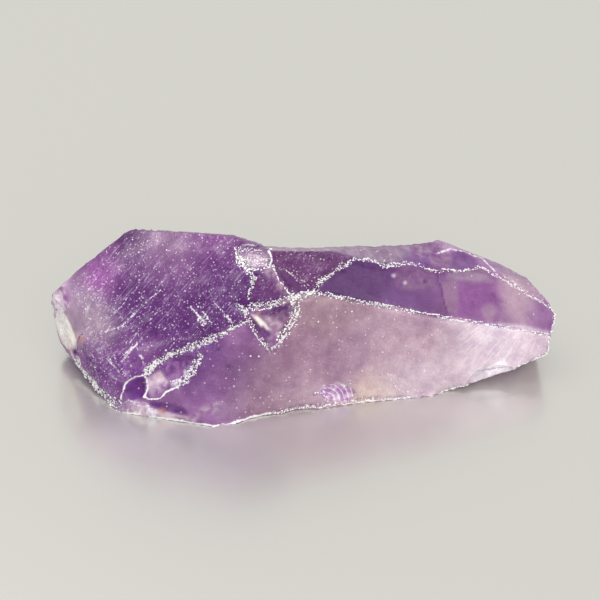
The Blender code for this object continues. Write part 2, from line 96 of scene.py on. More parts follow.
# Broken faces. A face is part of a ball, given by corners, the side it looks to and its radius, or
# lies inside an outline of some thickness with a soft rim. Strike is where the blow fell that its
# hackles and rings run from. Rays says how close the hackles are and period how far apart the
# rings; hackle, ring, ribbed and dust say how strong hackles, rings, whitened rings and dust are.
# A zone is a place, its reach, its tone and how milky it is.
FACES = {
    "upper_left": {
        "corners": ((-15.9, 10.9, 16.0), (-5.3, 4.0, 9.7), (-17.5, 2.6, 1.3)),
        "looks_to": (-0.3, -0.8, 0.4), "radius": 110,
        "strike": (-22.0, 7.0, 3.0),
        "rays": 9, "period": 2.4, "hackle": 0.4, "ring": 0.15, "dust": 1.0,
        "zones": (
            ((-12.8, 9.7, 15.4), 2.3, "heather", 0.62), ((-8.0, 8.2, 15.6), 2.5, "plum", 0.6),
            ((-6.4, 6.7, 13.8), 2.2, "deep_violet", 0.6), ((-16.2, 10.2, 14.5), 1.6, "ink", 0.6),
            # The orchid zone is painted glow, where light shines through the quartz.
            ((-19.1, 9.9, 12.5), 2.0, "lilac", 0.6), ((-19.6, 9.3, 11.3), 1.8, "orchid", 0.55),
            ((-12.3, 8.6, 13.4), 2.5, "wisteria", 0.6), ((-13.3, 7.5, 10.9), 3.0, "deep_violet", 0.6),
            ((-9.0, 6.5, 11.7), 3.0, "deep_violet", 0.6), ((-6.8, 5.2, 10.8), 2.0, "deep_violet", 0.6),
            ((-16.3, 6.7, 8.1), 3.0, "deep_violet", 0.6), ((-12.9, 5.7, 8.1), 3.0, "deep_violet", 0.6),
            ((-19.7, 6.8, 6.8), 1.8, "blush", 0.7), ((-18.2, 5.2, 4.9), 2.0, "deep_violet", 0.65),
            ((-15.3, 4.7, 5.3), 2.0, "lilac", 0.7), ((-21.0, 8.5, 9.3), 1.8, "ash", 0.7),
        ),
    },
    "lower_left": {
        "outline": (
            (-5.3, 4.0, 9.7), (-9.1, 4.2, 7.2), (-13.4, 4.1, 5.2), (-17.3, 2.9, 1.9), (-14.3, 1.8, 1.1),
            (-10.4, 0.8, 0.8), (-6.2, 0.9, 0.0), (-5.1, 2.4, 4.0), (-4.6, 3.8, 8.2),
        ),
        "thick": 1.6, "soft": 0.25,
        "strike": (-13.4, 4.1, 5.2),
        "rays": 6, "period": 2.2, "hackle": 0.1, "ring": 0.3, "dust": 0.4,
        "zones": (
            ((-10.0, 3.0, 3.6), 1.5, "violet", 0.5), ((-8.5, 3.8, 6.4), 1.6, "iris", 0.45),
            ((-6.0, 3.6, 6.8), 2.0, "wisteria", 0.58), ((-7.1, 2.6, 4.0), 2.0, "lilac", 0.45),
            ((-9.5, 2.0, 2.6), 2.0, "wisteria", 0.58), ((-12.5, 2.0, 1.6), 1.2, "lilac", 0.45),
            ((-6.4, 1.6, 1.6), 1.6, "lilac", 0.5),
        ),
    },
    "long_front": {
        "corners": ((-5.3, 4.0, 9.7), (-7.7, 0.2, 0.0), (14.2, 7.5, 7.5)),
        "looks_to": (0.2, -0.9, 0.3), "radius": 110,
        "strike": (2.0, 6.2, 10.5),
        "rays": 8, "period": 2.6, "hackle": 0.08, "ring": 0.2, "dust": 0.5,
        # Its pinkish tones, paler towards the bottom, are partly its own milky colour and partly
        # painted light: light that it lets through and reflects, more where it turns up.
        "zones": (
            ((-4.0, 3.8, 7.9), 1.8, "plum", 0.5), ((-2.9, 3.1, 4.1), 2.6, "mauve", 0.5),
            ((-4.8, 1.9, 2.1), 2.2, "dusky_rose", 0.55), ((0.0, 4.2, 5.1), 2.8, "dusky_rose", 0.6),
            ((2.9, 6.0, 9.1), 2.4, "taupe", 0.62), ((3.8, 5.4, 6.0), 2.8, "mauve", 0.6),
            ((0.0, 3.1, 1.7), 2.4, "rose", 0.6), ((7.7, 5.9, 5.1), 2.8, "rose", 0.65),
            ((9.6, 6.8, 7.3), 2.4, "rose", 0.65), ((7.3, 4.5, 0.9), 1.8, "straw", 0.7),
            ((9.7, 5.1, 1.4), 2.4, "blush", 0.72),
        ),
    },
    "right_front": {
        "corners": ((14.2, 7.5, 7.5), (12.8, 4.8, 0.0), (24.7, 8.8, 4.9)),
        "looks_to": (0.2, -0.9, 0.3), "radius": 150,
        "strike": (27.0, 10.0, 13.0),
        "rays": 70, "period": 1.6, "hackle": 0.45, "ring": 0.2, "dust": 0.3,
        # Its pale tones are partly its own milky colour and partly painted light that the face lets
        # through and reflects.
        "zones": (
            ((14.2, 7.3, 7.0), 1.8, "blush", 0.72), ((14.5, 6.7, 4.5), 2.2, "blush", 0.72),
            ((12.7, 5.6, 1.7), 2.4, "blush", 0.72), ((19.5, 7.7, 4.3), 2.6, "pale_rose", 0.8),
            ((22.5, 8.1, 4.0), 2.6, "blush", 0.8), ((17.6, 6.8, 2.6), 2.2, "blush", 0.78),
        ),
    },
    "window": {
        "corners": ((1.6, 6.3, 11.3), (14.2, 7.5, 7.5), (14.5, 11.1, 11.0)),
        "looks_to": (0.3, -0.7, 0.6), "radius": 600,
        "strike": (5.2, 9.7, 13.3),
        "rays": 5, "period": 3.2, "hackle": 0.05, "ring": 0.2, "dust": 0.1,
        "zones": (
            ((3.3, 7.4, 11.6), 2.0, "grape", 0.35), ((5.7, 8.3, 11.6), 2.2, "grape", 0.35),
            ((8.6, 8.3, 10.4), 2.2, "dusty_violet", 0.38), ((11.0, 9.6, 10.8), 1.8, "lilac", 0.4),
            ((11.2, 8.4, 9.3), 1.6, "grape", 0.38), ((14.5, 9.6, 9.5), 1.2, "lilac", 0.42),
            # The orchid zone is painted glow, where light shines through the quartz.
            ((17.3, 9.7, 8.5), 1.8, "orchid", 0.42), ((17.0, 11.2, 10.1), 1.0, "mauve", 0.45),
            ((21.0, 10.3, 7.8), 1.8, "rose", 0.6), ((24.0, 9.7, 6.1), 1.6, "wisteria", 0.5),
            ((5.7, 7.1, 10.4), 2.0, "deep_violet", 0.35), ((12.5, 8.0, 8.7), 1.6, "plum", 0.38),
            ((18.4, 8.9, 7.4), 1.6, "wisteria", 0.5),
        ),
    },
    "dusky": {
        "outline": (
            (-2.7, 8.2, 15.1), (-2.2, 7.3, 14.0), (-0.6, 7.1, 12.8), (1.4, 6.4, 11.5), (3.2, 8.1, 12.3),
            (5.2, 9.7, 13.3), (1.5, 9.4, 14.1),
        ),
        "thick": 1.0, "soft": 0.2,
        "strike": (5.2, 9.7, 13.3),
        "rays": 7, "period": 1.8, "hackle": 0.15, "ring": 0.15, "dust": 0.9,
        "zones": (((0.5, 8.0, 13.1), 2.0, "dusk", 0.55), ((3.0, 8.9, 13.2), 1.6, "dusk", 0.5)),
    },
    "crest": {
        "corners": ((-2.7, 8.2, 15.1), (0.9, 9.3, 14.3), (0.7, 11.0, 13.6)),
        "looks_to": (0.1, 0.4, 0.9), "radius": 60,
        "strike": (-2.7, 8.2, 15.1),
        "rays": 8, "period": 1.6, "hackle": 0.3, "ring": 0.5, "ribbed": 0.2, "dust": 0.4,
        "zones": (((0.9, 10.4, 13.9), 3.0, "ash", 0.65),),
    },
    "saddle": {
        "corners": ((5.2, 9.7, 13.3), (14.5, 11.1, 11.0), (13.7, 15.8, 11.4)),
        "looks_to": (0.0, 0.0, 1.0), "radius": 60,
        "strike": (14.5, 13.0, 11.0),
        "rays": 5, "period": 1.1, "hackle": 0.2, "ring": 1.0, "ribbed": 0.12, "dust": 0.2,
        "zones": (
            ((5.8, 11.1, 13.1), 2.2, "ash", 0.62), ((8.7, 12.0, 12.3), 2.2, "ash", 0.58),
            ((11.7, 11.4, 11.6), 1.6, "dusty_violet", 0.55),
            ((17.6, 14.2, 10.3), 1.6, "wisteria", 0.55),
        ),
    },
    "rear": {
        "corners": ((-3.5, 10.2, 14.6), (13.7, 15.8, 11.4), (4.0, 19.5, 0.0)),
        "looks_to": (0.0, 0.9, 0.4), "radius": 48.6,
        "strike": (4.0, 19.5, 0.0),
        "rays": 7, "period": 2.6, "hackle": 0.3, "ring": 1.0, "ribbed": 0.06, "dust": 0.3,
        "zones": (
            ((-8.0, 13.0, 12.0), 4.0, "lilac", 0.55), ((-2.0, 15.0, 6.0), 4.0, "grape", 0.5),
            ((5.0, 14.0, 9.0), 4.0, "plum", 0.5), ((10.0, 17.5, 3.0), 4.0, "mauve", 0.6),
            ((15.0, 17.0, 8.0), 4.0, "heather", 0.65), ((-12.0, 17.0, 4.0), 4.0, "deep_violet", 0.5),
        ),
    },
}

# How soft an outline's rim is, how far it reaches to each side, and how much a patch covers what
# is under it, where nothing else is said.
RIM = 0.18
THICK = 1.0
COVER = 0.95


def patch(tone, milk, mottle, outline, **more):
    """A patch: its tone and milkiness, a second tone with its share in mottles, and its outline.

    More says how much it covers, how soft and thick it is, its crumbs and dust, and its rings:
    where the blow fell, how far apart they are and how strongly they are whitened.
    """
    return {"tone": tone, "milk": milk, "mottle": mottle or (tone, 0), "outline": outline, **more}


# Chips and patches. Each is painted over those before it.
PATCHES = {
    # Painted light: the strip along the foot is painted pale and white for the light that its steep
    # bevel catches from the floor.
    "foot_strip_left": patch("blush", 0.85, ("ash", 0.4), (
        (-17.5, 2.6, 1.1), (-15.9, 2.7, 1.4), (-14.9, 2.4, 1.5), (-14.7, 1.9, 1.1), (-14.5, 1.8, 0.0),
        (-17.6, 2.5, 0.0),
    )),
    "foot_strip_bright": patch("frost", 0.95, ("ash", 0.35), (
        (-14.9, 2.4, 1.5), (-14.1, 1.9, 1.2), (-13.6, 1.7, 1.1), (-13.7, 1.6, 0.0), (-14.6, 1.8, 0.0),
        (-14.7, 1.9, 1.1),
    )),
    "foot_strip_right": patch("blush", 0.85, ("ash", 0.4), (
        (-13.8, 1.7, 1.1), (-12.8, 1.5, 1.0), (-10.9, 1.0, 0.8), (-9.9, 0.7, 0.8), (-9.9, 0.5, 0.0),
        (-12.5, 1.1, 0.0), (-13.7, 1.4, 0.0),
    )),
    # Painted reflection: the pale band low on the front, with its dots, is the stone's underside
    # reflected inside it, seen through the lower left face.
    "veil": patch("blush", 0.6, ("plum", 0.45), (
        (-10.4, 0.9, 0.8), (-8.2, 1.3, 1.0), (-6.4, 1.5, 1.5), (-5.4, 1.8, 2.2), (-4.4, 2.3, 3.1),
        (-4.6, 2.4, 3.5), (-5.6, 2.3, 3.5), (-6.5, 2.1, 2.5), (-7.7, 1.9, 1.9), (-9.2, 1.7, 1.5),
    ), cover=0.75, soft=0.3),
    "veil_dots": patch("heather", 0.5, ("shadow", 0.6), (
        (-8.4, 1.2, 0.9), (-6.3, 1.4, 1.4), (-5.2, 1.9, 2.2), (-4.6, 2.3, 3.2), (-5.4, 1.9, 2.6),
        (-6.6, 1.6, 1.8),
    ), cover=0.8),
    "crown": patch("dusty_violet", 0.7, ("heather", 0.5), (
        (-5.7, 7.6, 15.6), (-5.1, 7.9, 15.9), (-3.0, 8.8, 15.1), (-2.8, 7.2, 14.3), (-3.9, 6.3, 14.2),
        (-5.0, 6.6, 14.2), (-5.8, 7.3, 15.0),
    ), thick=1.4, crumbs=0.4),
    "crown_dark": patch("dusty_violet", 0.45, ("heather", 0.35), (
        (-4.9, 7.9, 15.5), (-3.9, 8.2, 15.5), (-3.0, 8.8, 14.9), (-3.0, 8.1, 14.6), (-4.0, 8.2, 14.6),
        (-4.8, 7.9, 14.9),
    )),
    "crown_white": patch("blush", 0.95, ("dusty_violet", 0.3), (
        (-5.4, 7.5, 14.8), (-4.8, 7.9, 14.9), (-3.6, 8.2, 14.6), (-3.0, 7.7, 14.4), (-3.2, 6.9, 14.2),
        (-4.3, 6.9, 14.1), (-5.1, 7.0, 14.4),
    ), crumbs=0.6, blow=(-4.2, 8.6, 16.4), period=0.5, ribbed=0.6),
    "pink_band": patch("rose", 0.65, ("grape", 0.4), (
        (-3.8, 6.4, 14.1), (-2.3, 7.0, 13.9), (-1.7, 6.8, 12.7), (-1.1, 6.0, 11.8), (-1.3, 5.7, 11.4),
        (-1.7, 5.9, 11.8), (-2.6, 6.2, 13.0),
    ), crumbs=0.35),
    "dark_facet": patch("dusk", 0.7, ("ink", 0.4), (
        (-3.9, 6.1, 13.6), (-4.1, 5.8, 13.0), (-4.3, 5.5, 12.4), (-4.8, 5.1, 11.8), (-4.4, 4.8, 11.1),
        (-2.6, 5.3, 11.0), (-1.3, 5.7, 11.2), (-1.7, 5.9, 11.8), (-2.8, 6.2, 13.0),
    ), dust=0.9),
    "sliver": patch("midnight", 0.9, ("ink", 0.35), (
        (-2.1, 7.1, 13.7), (-1.3, 7.2, 12.9), (-0.2, 7.0, 12.4), (0.5, 6.6, 11.8), (0.4, 6.2, 11.7),
        (-0.3, 6.1, 11.7), (-0.8, 6.5, 11.7), (-1.4, 6.6, 12.3), (-1.8, 6.9, 13.0),
    ), soft=0.12),
    "notch_brown": patch("mauve", 0.6, ("deep_violet", 0.5), (
        (-3.7, 4.9, 10.0), (-3.4, 5.0, 10.6), (-0.8, 5.6, 10.9), (-0.3, 5.6, 10.4), (-1.3, 5.2, 9.2),
        (-1.7, 5.2, 9.0), (-2.7, 5.5, 9.3),
    ), thick=1.4, crumbs=0.45, dust=0.8),
    "notch_grey": patch("blush", 0.7, ("mauve", 0.4), (
        (-3.6, 5.1, 9.7), (-1.7, 5.2, 8.9), (-1.7, 4.7, 8.3), (-2.0, 4.4, 7.5), (-2.6, 4.8, 7.9),
        (-3.1, 5.1, 8.8),
    ), thick=1.4),
    "notch_violet": patch("ink", 0.8, ("midnight", 0.35), (
        (-4.8, 4.3, 10.3), (-3.5, 4.7, 8.9), (-2.8, 4.8, 8.0), (-2.7, 4.5, 7.5), (-3.2, 4.0, 7.4),
        (-3.7, 4.0, 8.1), (-4.4, 4.1, 9.0),
    ), soft=0.12, thick=1.4),
    "notch_fan": patch("cream", 0.98, None, (
        (-4.6, 4.4, 10.3), (-3.9, 4.9, 9.7), (-3.2, 5.0, 8.9), (-2.7, 4.9, 8.1), (-3.1, 4.7, 8.3),
        (-3.4, 4.6, 8.9), (-3.7, 4.6, 8.7), (-4.0, 4.5, 9.4), (-4.4, 4.5, 9.9),
    ), soft=0.12, thick=1.4),
    "notch_foot": patch("heather", 0.6, ("plum", 0.4), (
        (-3.0, 4.3, 7.7), (-2.3, 4.5, 7.7), (-2.3, 4.2, 7.1), (-2.8, 3.9, 6.6), (-3.2, 4.0, 7.2),
    ), thick=1.4),
    "notch_strip": patch("midnight", 0.8, None, (
        (-1.3, 5.1, 9.1), (-0.9, 5.4, 9.6), (-1.4, 4.8, 8.4), (-1.9, 4.3, 7.3), (-1.8, 4.7, 8.3),
    ), soft=0.12, thick=1.4),
    "ridge_chip": patch("violet", 0.7, ("wisteria", 0.45), (
        (-13.3, 4.0, 4.8), (-12.6, 4.2, 5.0), (-11.8, 4.4, 5.0), (-11.0, 4.4, 4.9), (-10.0, 3.9, 5.1),
        (-10.3, 3.9, 4.7), (-11.1, 4.2, 4.1), (-11.6, 3.8, 3.3), (-12.6, 3.6, 3.2), (-13.0, 3.8, 3.9),
    ), crumbs=0.5),
    "chip_bank": patch("frost", 0.85, ("grape", 0.5), (
        (-10.0, 3.9, 5.1), (-10.2, 3.8, 4.5), (-10.7, 3.5, 3.5), (-12.1, 3.2, 2.6), (-12.7, 3.4, 3.1),
        (-11.6, 3.8, 3.3), (-11.1, 4.2, 4.1),
    )),
    "bright_chip": patch("blush", 0.9, ("heather", 0.2), (
        (-14.7, 3.6, 3.2), (-13.9, 3.9, 3.6), (-13.4, 4.0, 3.9), (-13.0, 3.8, 3.3), (-12.6, 3.5, 3.0),
        (-12.8, 3.4, 2.6), (-13.4, 3.3, 2.2), (-14.2, 3.1, 1.9), (-14.7, 3.2, 2.2),
    )),
    "bright_chip_low": patch("heather", 0.8, ("grape", 0.3), (
        (-14.7, 3.3, 2.5), (-13.6, 3.7, 2.7), (-12.8, 3.4, 2.7), (-13.0, 3.1, 2.2), (-13.8, 2.8, 1.8),
        (-14.8, 2.8, 1.8),
    ), cover=0.7),
    "scooped_chip": patch("violet", 0.7, ("ink", 0.3), (
        (-17.5, 2.7, 1.2), (-17.3, 3.1, 1.7), (-16.8, 3.5, 2.5), (-16.0, 3.8, 3.1), (-15.1, 3.6, 3.5),
        (-14.7, 3.5, 3.1), (-14.8, 3.2, 2.3), (-15.0, 2.8, 1.8), (-15.9, 2.8, 1.4),
    ), soft=0.12, dust=0.1),
    "shell_chip": patch("pale_rose", 0.75, ("wisteria", 0.5), (
        (1.7, 3.5, 1.6), (2.2, 3.8, 2.2), (3.5, 4.2, 2.4), (4.7, 4.3, 2.0), (5.3, 4.2, 1.2),
        (5.1, 4.0, 0.7), (4.5, 3.8, 0.3), (2.9, 3.5, 0.7),
    ), soft=0.12, blow=(2.4, 3.6, 0.4), period=0.42, ribbed=1.0),
    "lens_left": patch("plum", 0.55, ("mauve", 0.4), (
        (13.5, 13.5, 11.2), (14.8, 14.4, 10.8), (14.8, 12.6, 10.7), (14.5, 11.1, 11.0),
        (13.8, 10.9, 11.1), (12.6, 10.9, 11.4), (12.6, 12.0, 11.4),
    ), cover=0.8, soft=0.35, thick=0.8),
    "lens_blue": patch("lilac", 0.5, ("dusty_violet", 0.4), (
        (14.8, 14.4, 10.8), (15.6, 14.8, 10.7), (16.5, 14.5, 10.6), (17.5, 13.9, 10.3),
        (17.5, 12.2, 10.4), (16.3, 11.9, 10.5), (14.5, 11.1, 11.0), (14.8, 12.6, 10.7),
    ), soft=0.25, thick=0.8),
    "upper_purple": patch("plum", 0.45, ("heather", 0.4), (
        (11.0, 14.3, 11.8), (12.8, 15.2, 11.5), (14.0, 15.1, 11.2), (13.7, 13.8, 11.1),
        (12.5, 12.5, 11.4), (11.3, 12.3, 11.7),
    ), soft=0.5, thick=0.8),
    "heel_left": patch("snow", 0.7, ("pale_rose", 0.5), (
        (16.9, 6.4, 0.6), (16.8, 6.3, 1.7), (17.5, 6.6, 2.3), (18.6, 6.9, 2.3), (18.6, 6.9, 0.8),
        (17.5, 6.7, 0.6),
    )),
    "heel_white": patch("snow", 1.0, ("frost", 0.4), (
        (18.4, 6.8, 2.2), (18.8, 6.9, 2.2), (19.4, 7.2, 2.8), (20.2, 7.3, 2.6), (20.7, 7.2, 1.4),
        (18.8, 7.0, 0.8), (18.5, 6.9, 0.7),
    )),
    "rough_end": patch("pale_rose", 0.85, ("plum", 0.35), (
        (-24.9, 11.9, 8.4), (-23.8, 11.0, 9.8), (-22.9, 10.0, 10.5), (-22.0, 9.2, 9.9),
        (-21.9, 8.8, 9.3), (-22.5, 9.0, 7.8), (-23.6, 10.0, 6.4), (-24.9, 11.9, 5.4),
    ), thick=1.4, crumbs=0.45),
    "white_end": patch("frost", 0.95, ("cream", 0.6), (
        (-24.9, 12.1, 4.9), (-23.2, 9.6, 6.7), (-22.4, 8.6, 6.1), (-21.8, 7.8, 4.8), (-22.3, 8.9, 2.8),
        (-23.3, 10.3, 1.9), (-24.8, 12.0, 2.0),
    ), thick=1.4),
    "end_notch": patch("pale_rose", 0.65, ("deep_violet", 0.25), (
        (-22.9, 9.7, 2.1), (-22.0, 7.9, 3.4), (-21.8, 8.4, 2.0), (-22.1, 8.5, 1.2), (-22.8, 9.7, 1.0),
    ), crumbs=0.6),
    "end_lilac": patch("heather", 0.7, ("ash", 0.4), (
        (-22.7, 9.1, 7.0), (-21.2, 7.9, 8.1), (-20.8, 7.3, 7.3), (-21.3, 7.4, 5.9), (-22.0, 8.1, 5.5),
        (-22.6, 8.9, 6.2),
    ), soft=0.4),
    "end_crumbs": patch("lilac", 0.85, ("deep_violet", 0.5), (
        (-21.9, 7.8, 3.4), (-20.9, 7.0, 5.8), (-19.4, 6.7, 6.8), (-18.7, 5.8, 5.7), (-17.5, 5.3, 5.3),
        (-15.8, 4.7, 5.1), (-14.3, 4.3, 5.1), (-15.3, 3.7, 3.8), (-17.1, 3.4, 2.7), (-17.8, 2.9, 1.3),
        (-18.6, 3.7, 0.9), (-19.9, 5.3, 1.2), (-21.4, 7.1, 1.7),
    ), cover=0.8, soft=0.7, thick=1.2, crumbs=0.62, dust=1.0),
    "chip_shadow": patch("violet", 0.45, ("grape", 0.4), (
        (-14.5, 2.5, 1.5), (-12.7, 2.2, 1.6), (-10.9, 1.6, 1.3), (-10.7, 1.1, 1.0), (-11.9, 1.3, 1.0),
        (-13.4, 1.7, 1.2), (-14.4, 2.1, 1.3),
    ), soft=0.15),
    "ridge_shade": patch("mauve", 0.55, ("rose", 0.4), (
        (0.0, 5.8, 11.0), (2.8, 6.3, 10.2), (5.5, 6.6, 9.4), (9.6, 7.1, 8.2), (14.5, 7.4, 6.9),
        (14.3, 7.2, 6.4), (9.6, 6.9, 7.4), (4.8, 6.3, 8.7), (0.0, 5.6, 10.2),
    ), cover=0.4, soft=0.35),
    "left_facet": patch("lilac", 0.6, ("dusty_violet", 0.5), (
        (-15.6, 5.4, 6.3), (-16.8, 4.4, 4.2), (-16.6, 3.9, 3.6), (-15.3, 3.6, 3.6), (-15.2, 4.3, 4.8),
    ), soft=0.15, dust=0.1),
    # Painted glow: the orchid block in the window is where light shines through the quartz.
    "window_block": patch("orchid", 0.42, ("plum", 0.4), (
        (15.4, 10.5, 10.1), (18.9, 11.1, 9.4), (19.3, 10.0, 8.1), (19.0, 8.4, 6.6), (15.6, 8.1, 7.5),
        (15.4, 9.1, 8.7),
    ), cover=0.7, soft=0.45),
    "window_pink": patch("plum", 0.45, ("mauve", 0.4), (
        (9.1, 10.0, 11.9), (12.1, 10.6, 11.4), (12.9, 10.5, 11.0), (12.9, 9.5, 10.0), (11.3, 8.8, 9.9),
        (9.6, 8.6, 10.4), (9.0, 9.2, 11.2),
    ), cover=0.7, soft=0.45),
    "window_strip": patch("mauve", 0.5, None, (
        (13.7, 9.9, 10.1), (15.3, 10.5, 10.1), (15.2, 8.1, 7.7), (13.9, 8.0, 8.1),
    ), cover=0.8, soft=0.25),
    "window_brow": patch("heather", 0.5, None, (
        (14.3, 10.8, 10.8), (16.5, 11.5, 10.5), (18.7, 11.5, 9.8), (18.9, 11.1, 9.4),
        (15.4, 10.5, 10.1), (14.2, 10.3, 10.3),
    ), cover=0.8, soft=0.25),
}

# Stains, dots and glows: place, reach, tone, how milky and how much they cover what is under.
SPOTS = {
    "magenta_glow": ((-19.6, 9.3, 11.3), 1.6, "orchid", 0.55, 0.5),
    "grey_glow": ((-20.9, 8.5, 9.3), 1.5, "ash", 0.7, 0.6),
    "comb_shade": ((-21.0, 9.8, 11.2), 0.9, "ash", 0.7, 0.5),
    "foot_stain": ((-13.2, 1.6, 1.0), 0.45, "rust", 0.8, 0.55),
    "notch_stain": ((-3.9, 4.8, 10.1), 0.25, "rust", 0.8, 0.6),
    "end_stain": ((-22.2, 8.4, 4.3), 0.9, "cream", 0.95, 0.7),
    "end_stain_edge": ((-23.0, 9.6, 2.6), 0.7, "straw", 0.9, 0.5),
    "end_stain_dot": ((-21.3, 7.4, 5.2), 0.45, "rust", 0.95, 0.7),
    "dark_dot": ((12.0, 9.6, 10.5), 0.26, "shadow", 0.6, 0.95),
    "inclusion_a": ((-7.7, 4.0, 6.5), 0.22, "shadow", 0.5, 0.7),
    "inclusion_b": ((-6.8, 3.3, 5.0), 0.3, "shadow", 0.5, 0.8),
    "inclusion_c": ((-6.5, 3.0, 4.4), 0.25, "shadow", 0.5, 0.8),
    "window_low": ((18.4, 8.9, 7.4), 1.0, "rose", 0.6, 0.6),
    "tip_shade": ((24.9, 9.2, 5.4), 0.8, "plum", 0.6, 0.7),
    "white_speck_a": ((9.0, 9.3, 11.4), 0.22, "frost", 0.95, 0.95),
    "white_speck_b": ((10.1, 9.1, 10.7), 0.18, "frost", 0.95, 0.8),
}

# Tone of what no face or spot reaches, how milky and how dusty it is.
PLAIN_TONE = "lilac"
PLAIN_MILK = 0.6
PLAIN_DUST = 0.4

# How a tone spreads: the share that the plain tone has everywhere, a zone's pull beyond its
# reach, the share of it that spills on other faces, and how far from its zones a face ends.
PLAIN_SHARE = 1e-4
FAR_PULL = 1e-3
SPILL = 0.01
FACE_END = (9, 12)

# Hackles and rings: which share of all faces the best one has where they begin and are full, the
# share that stands for no face, and the side that a face inside an outline looks to.
FACE_CERTAIN = (0.55, 0.95)
NO_FACE = 0.02
FRONT_SIDE = (-0.2, -0.85, 0.4)

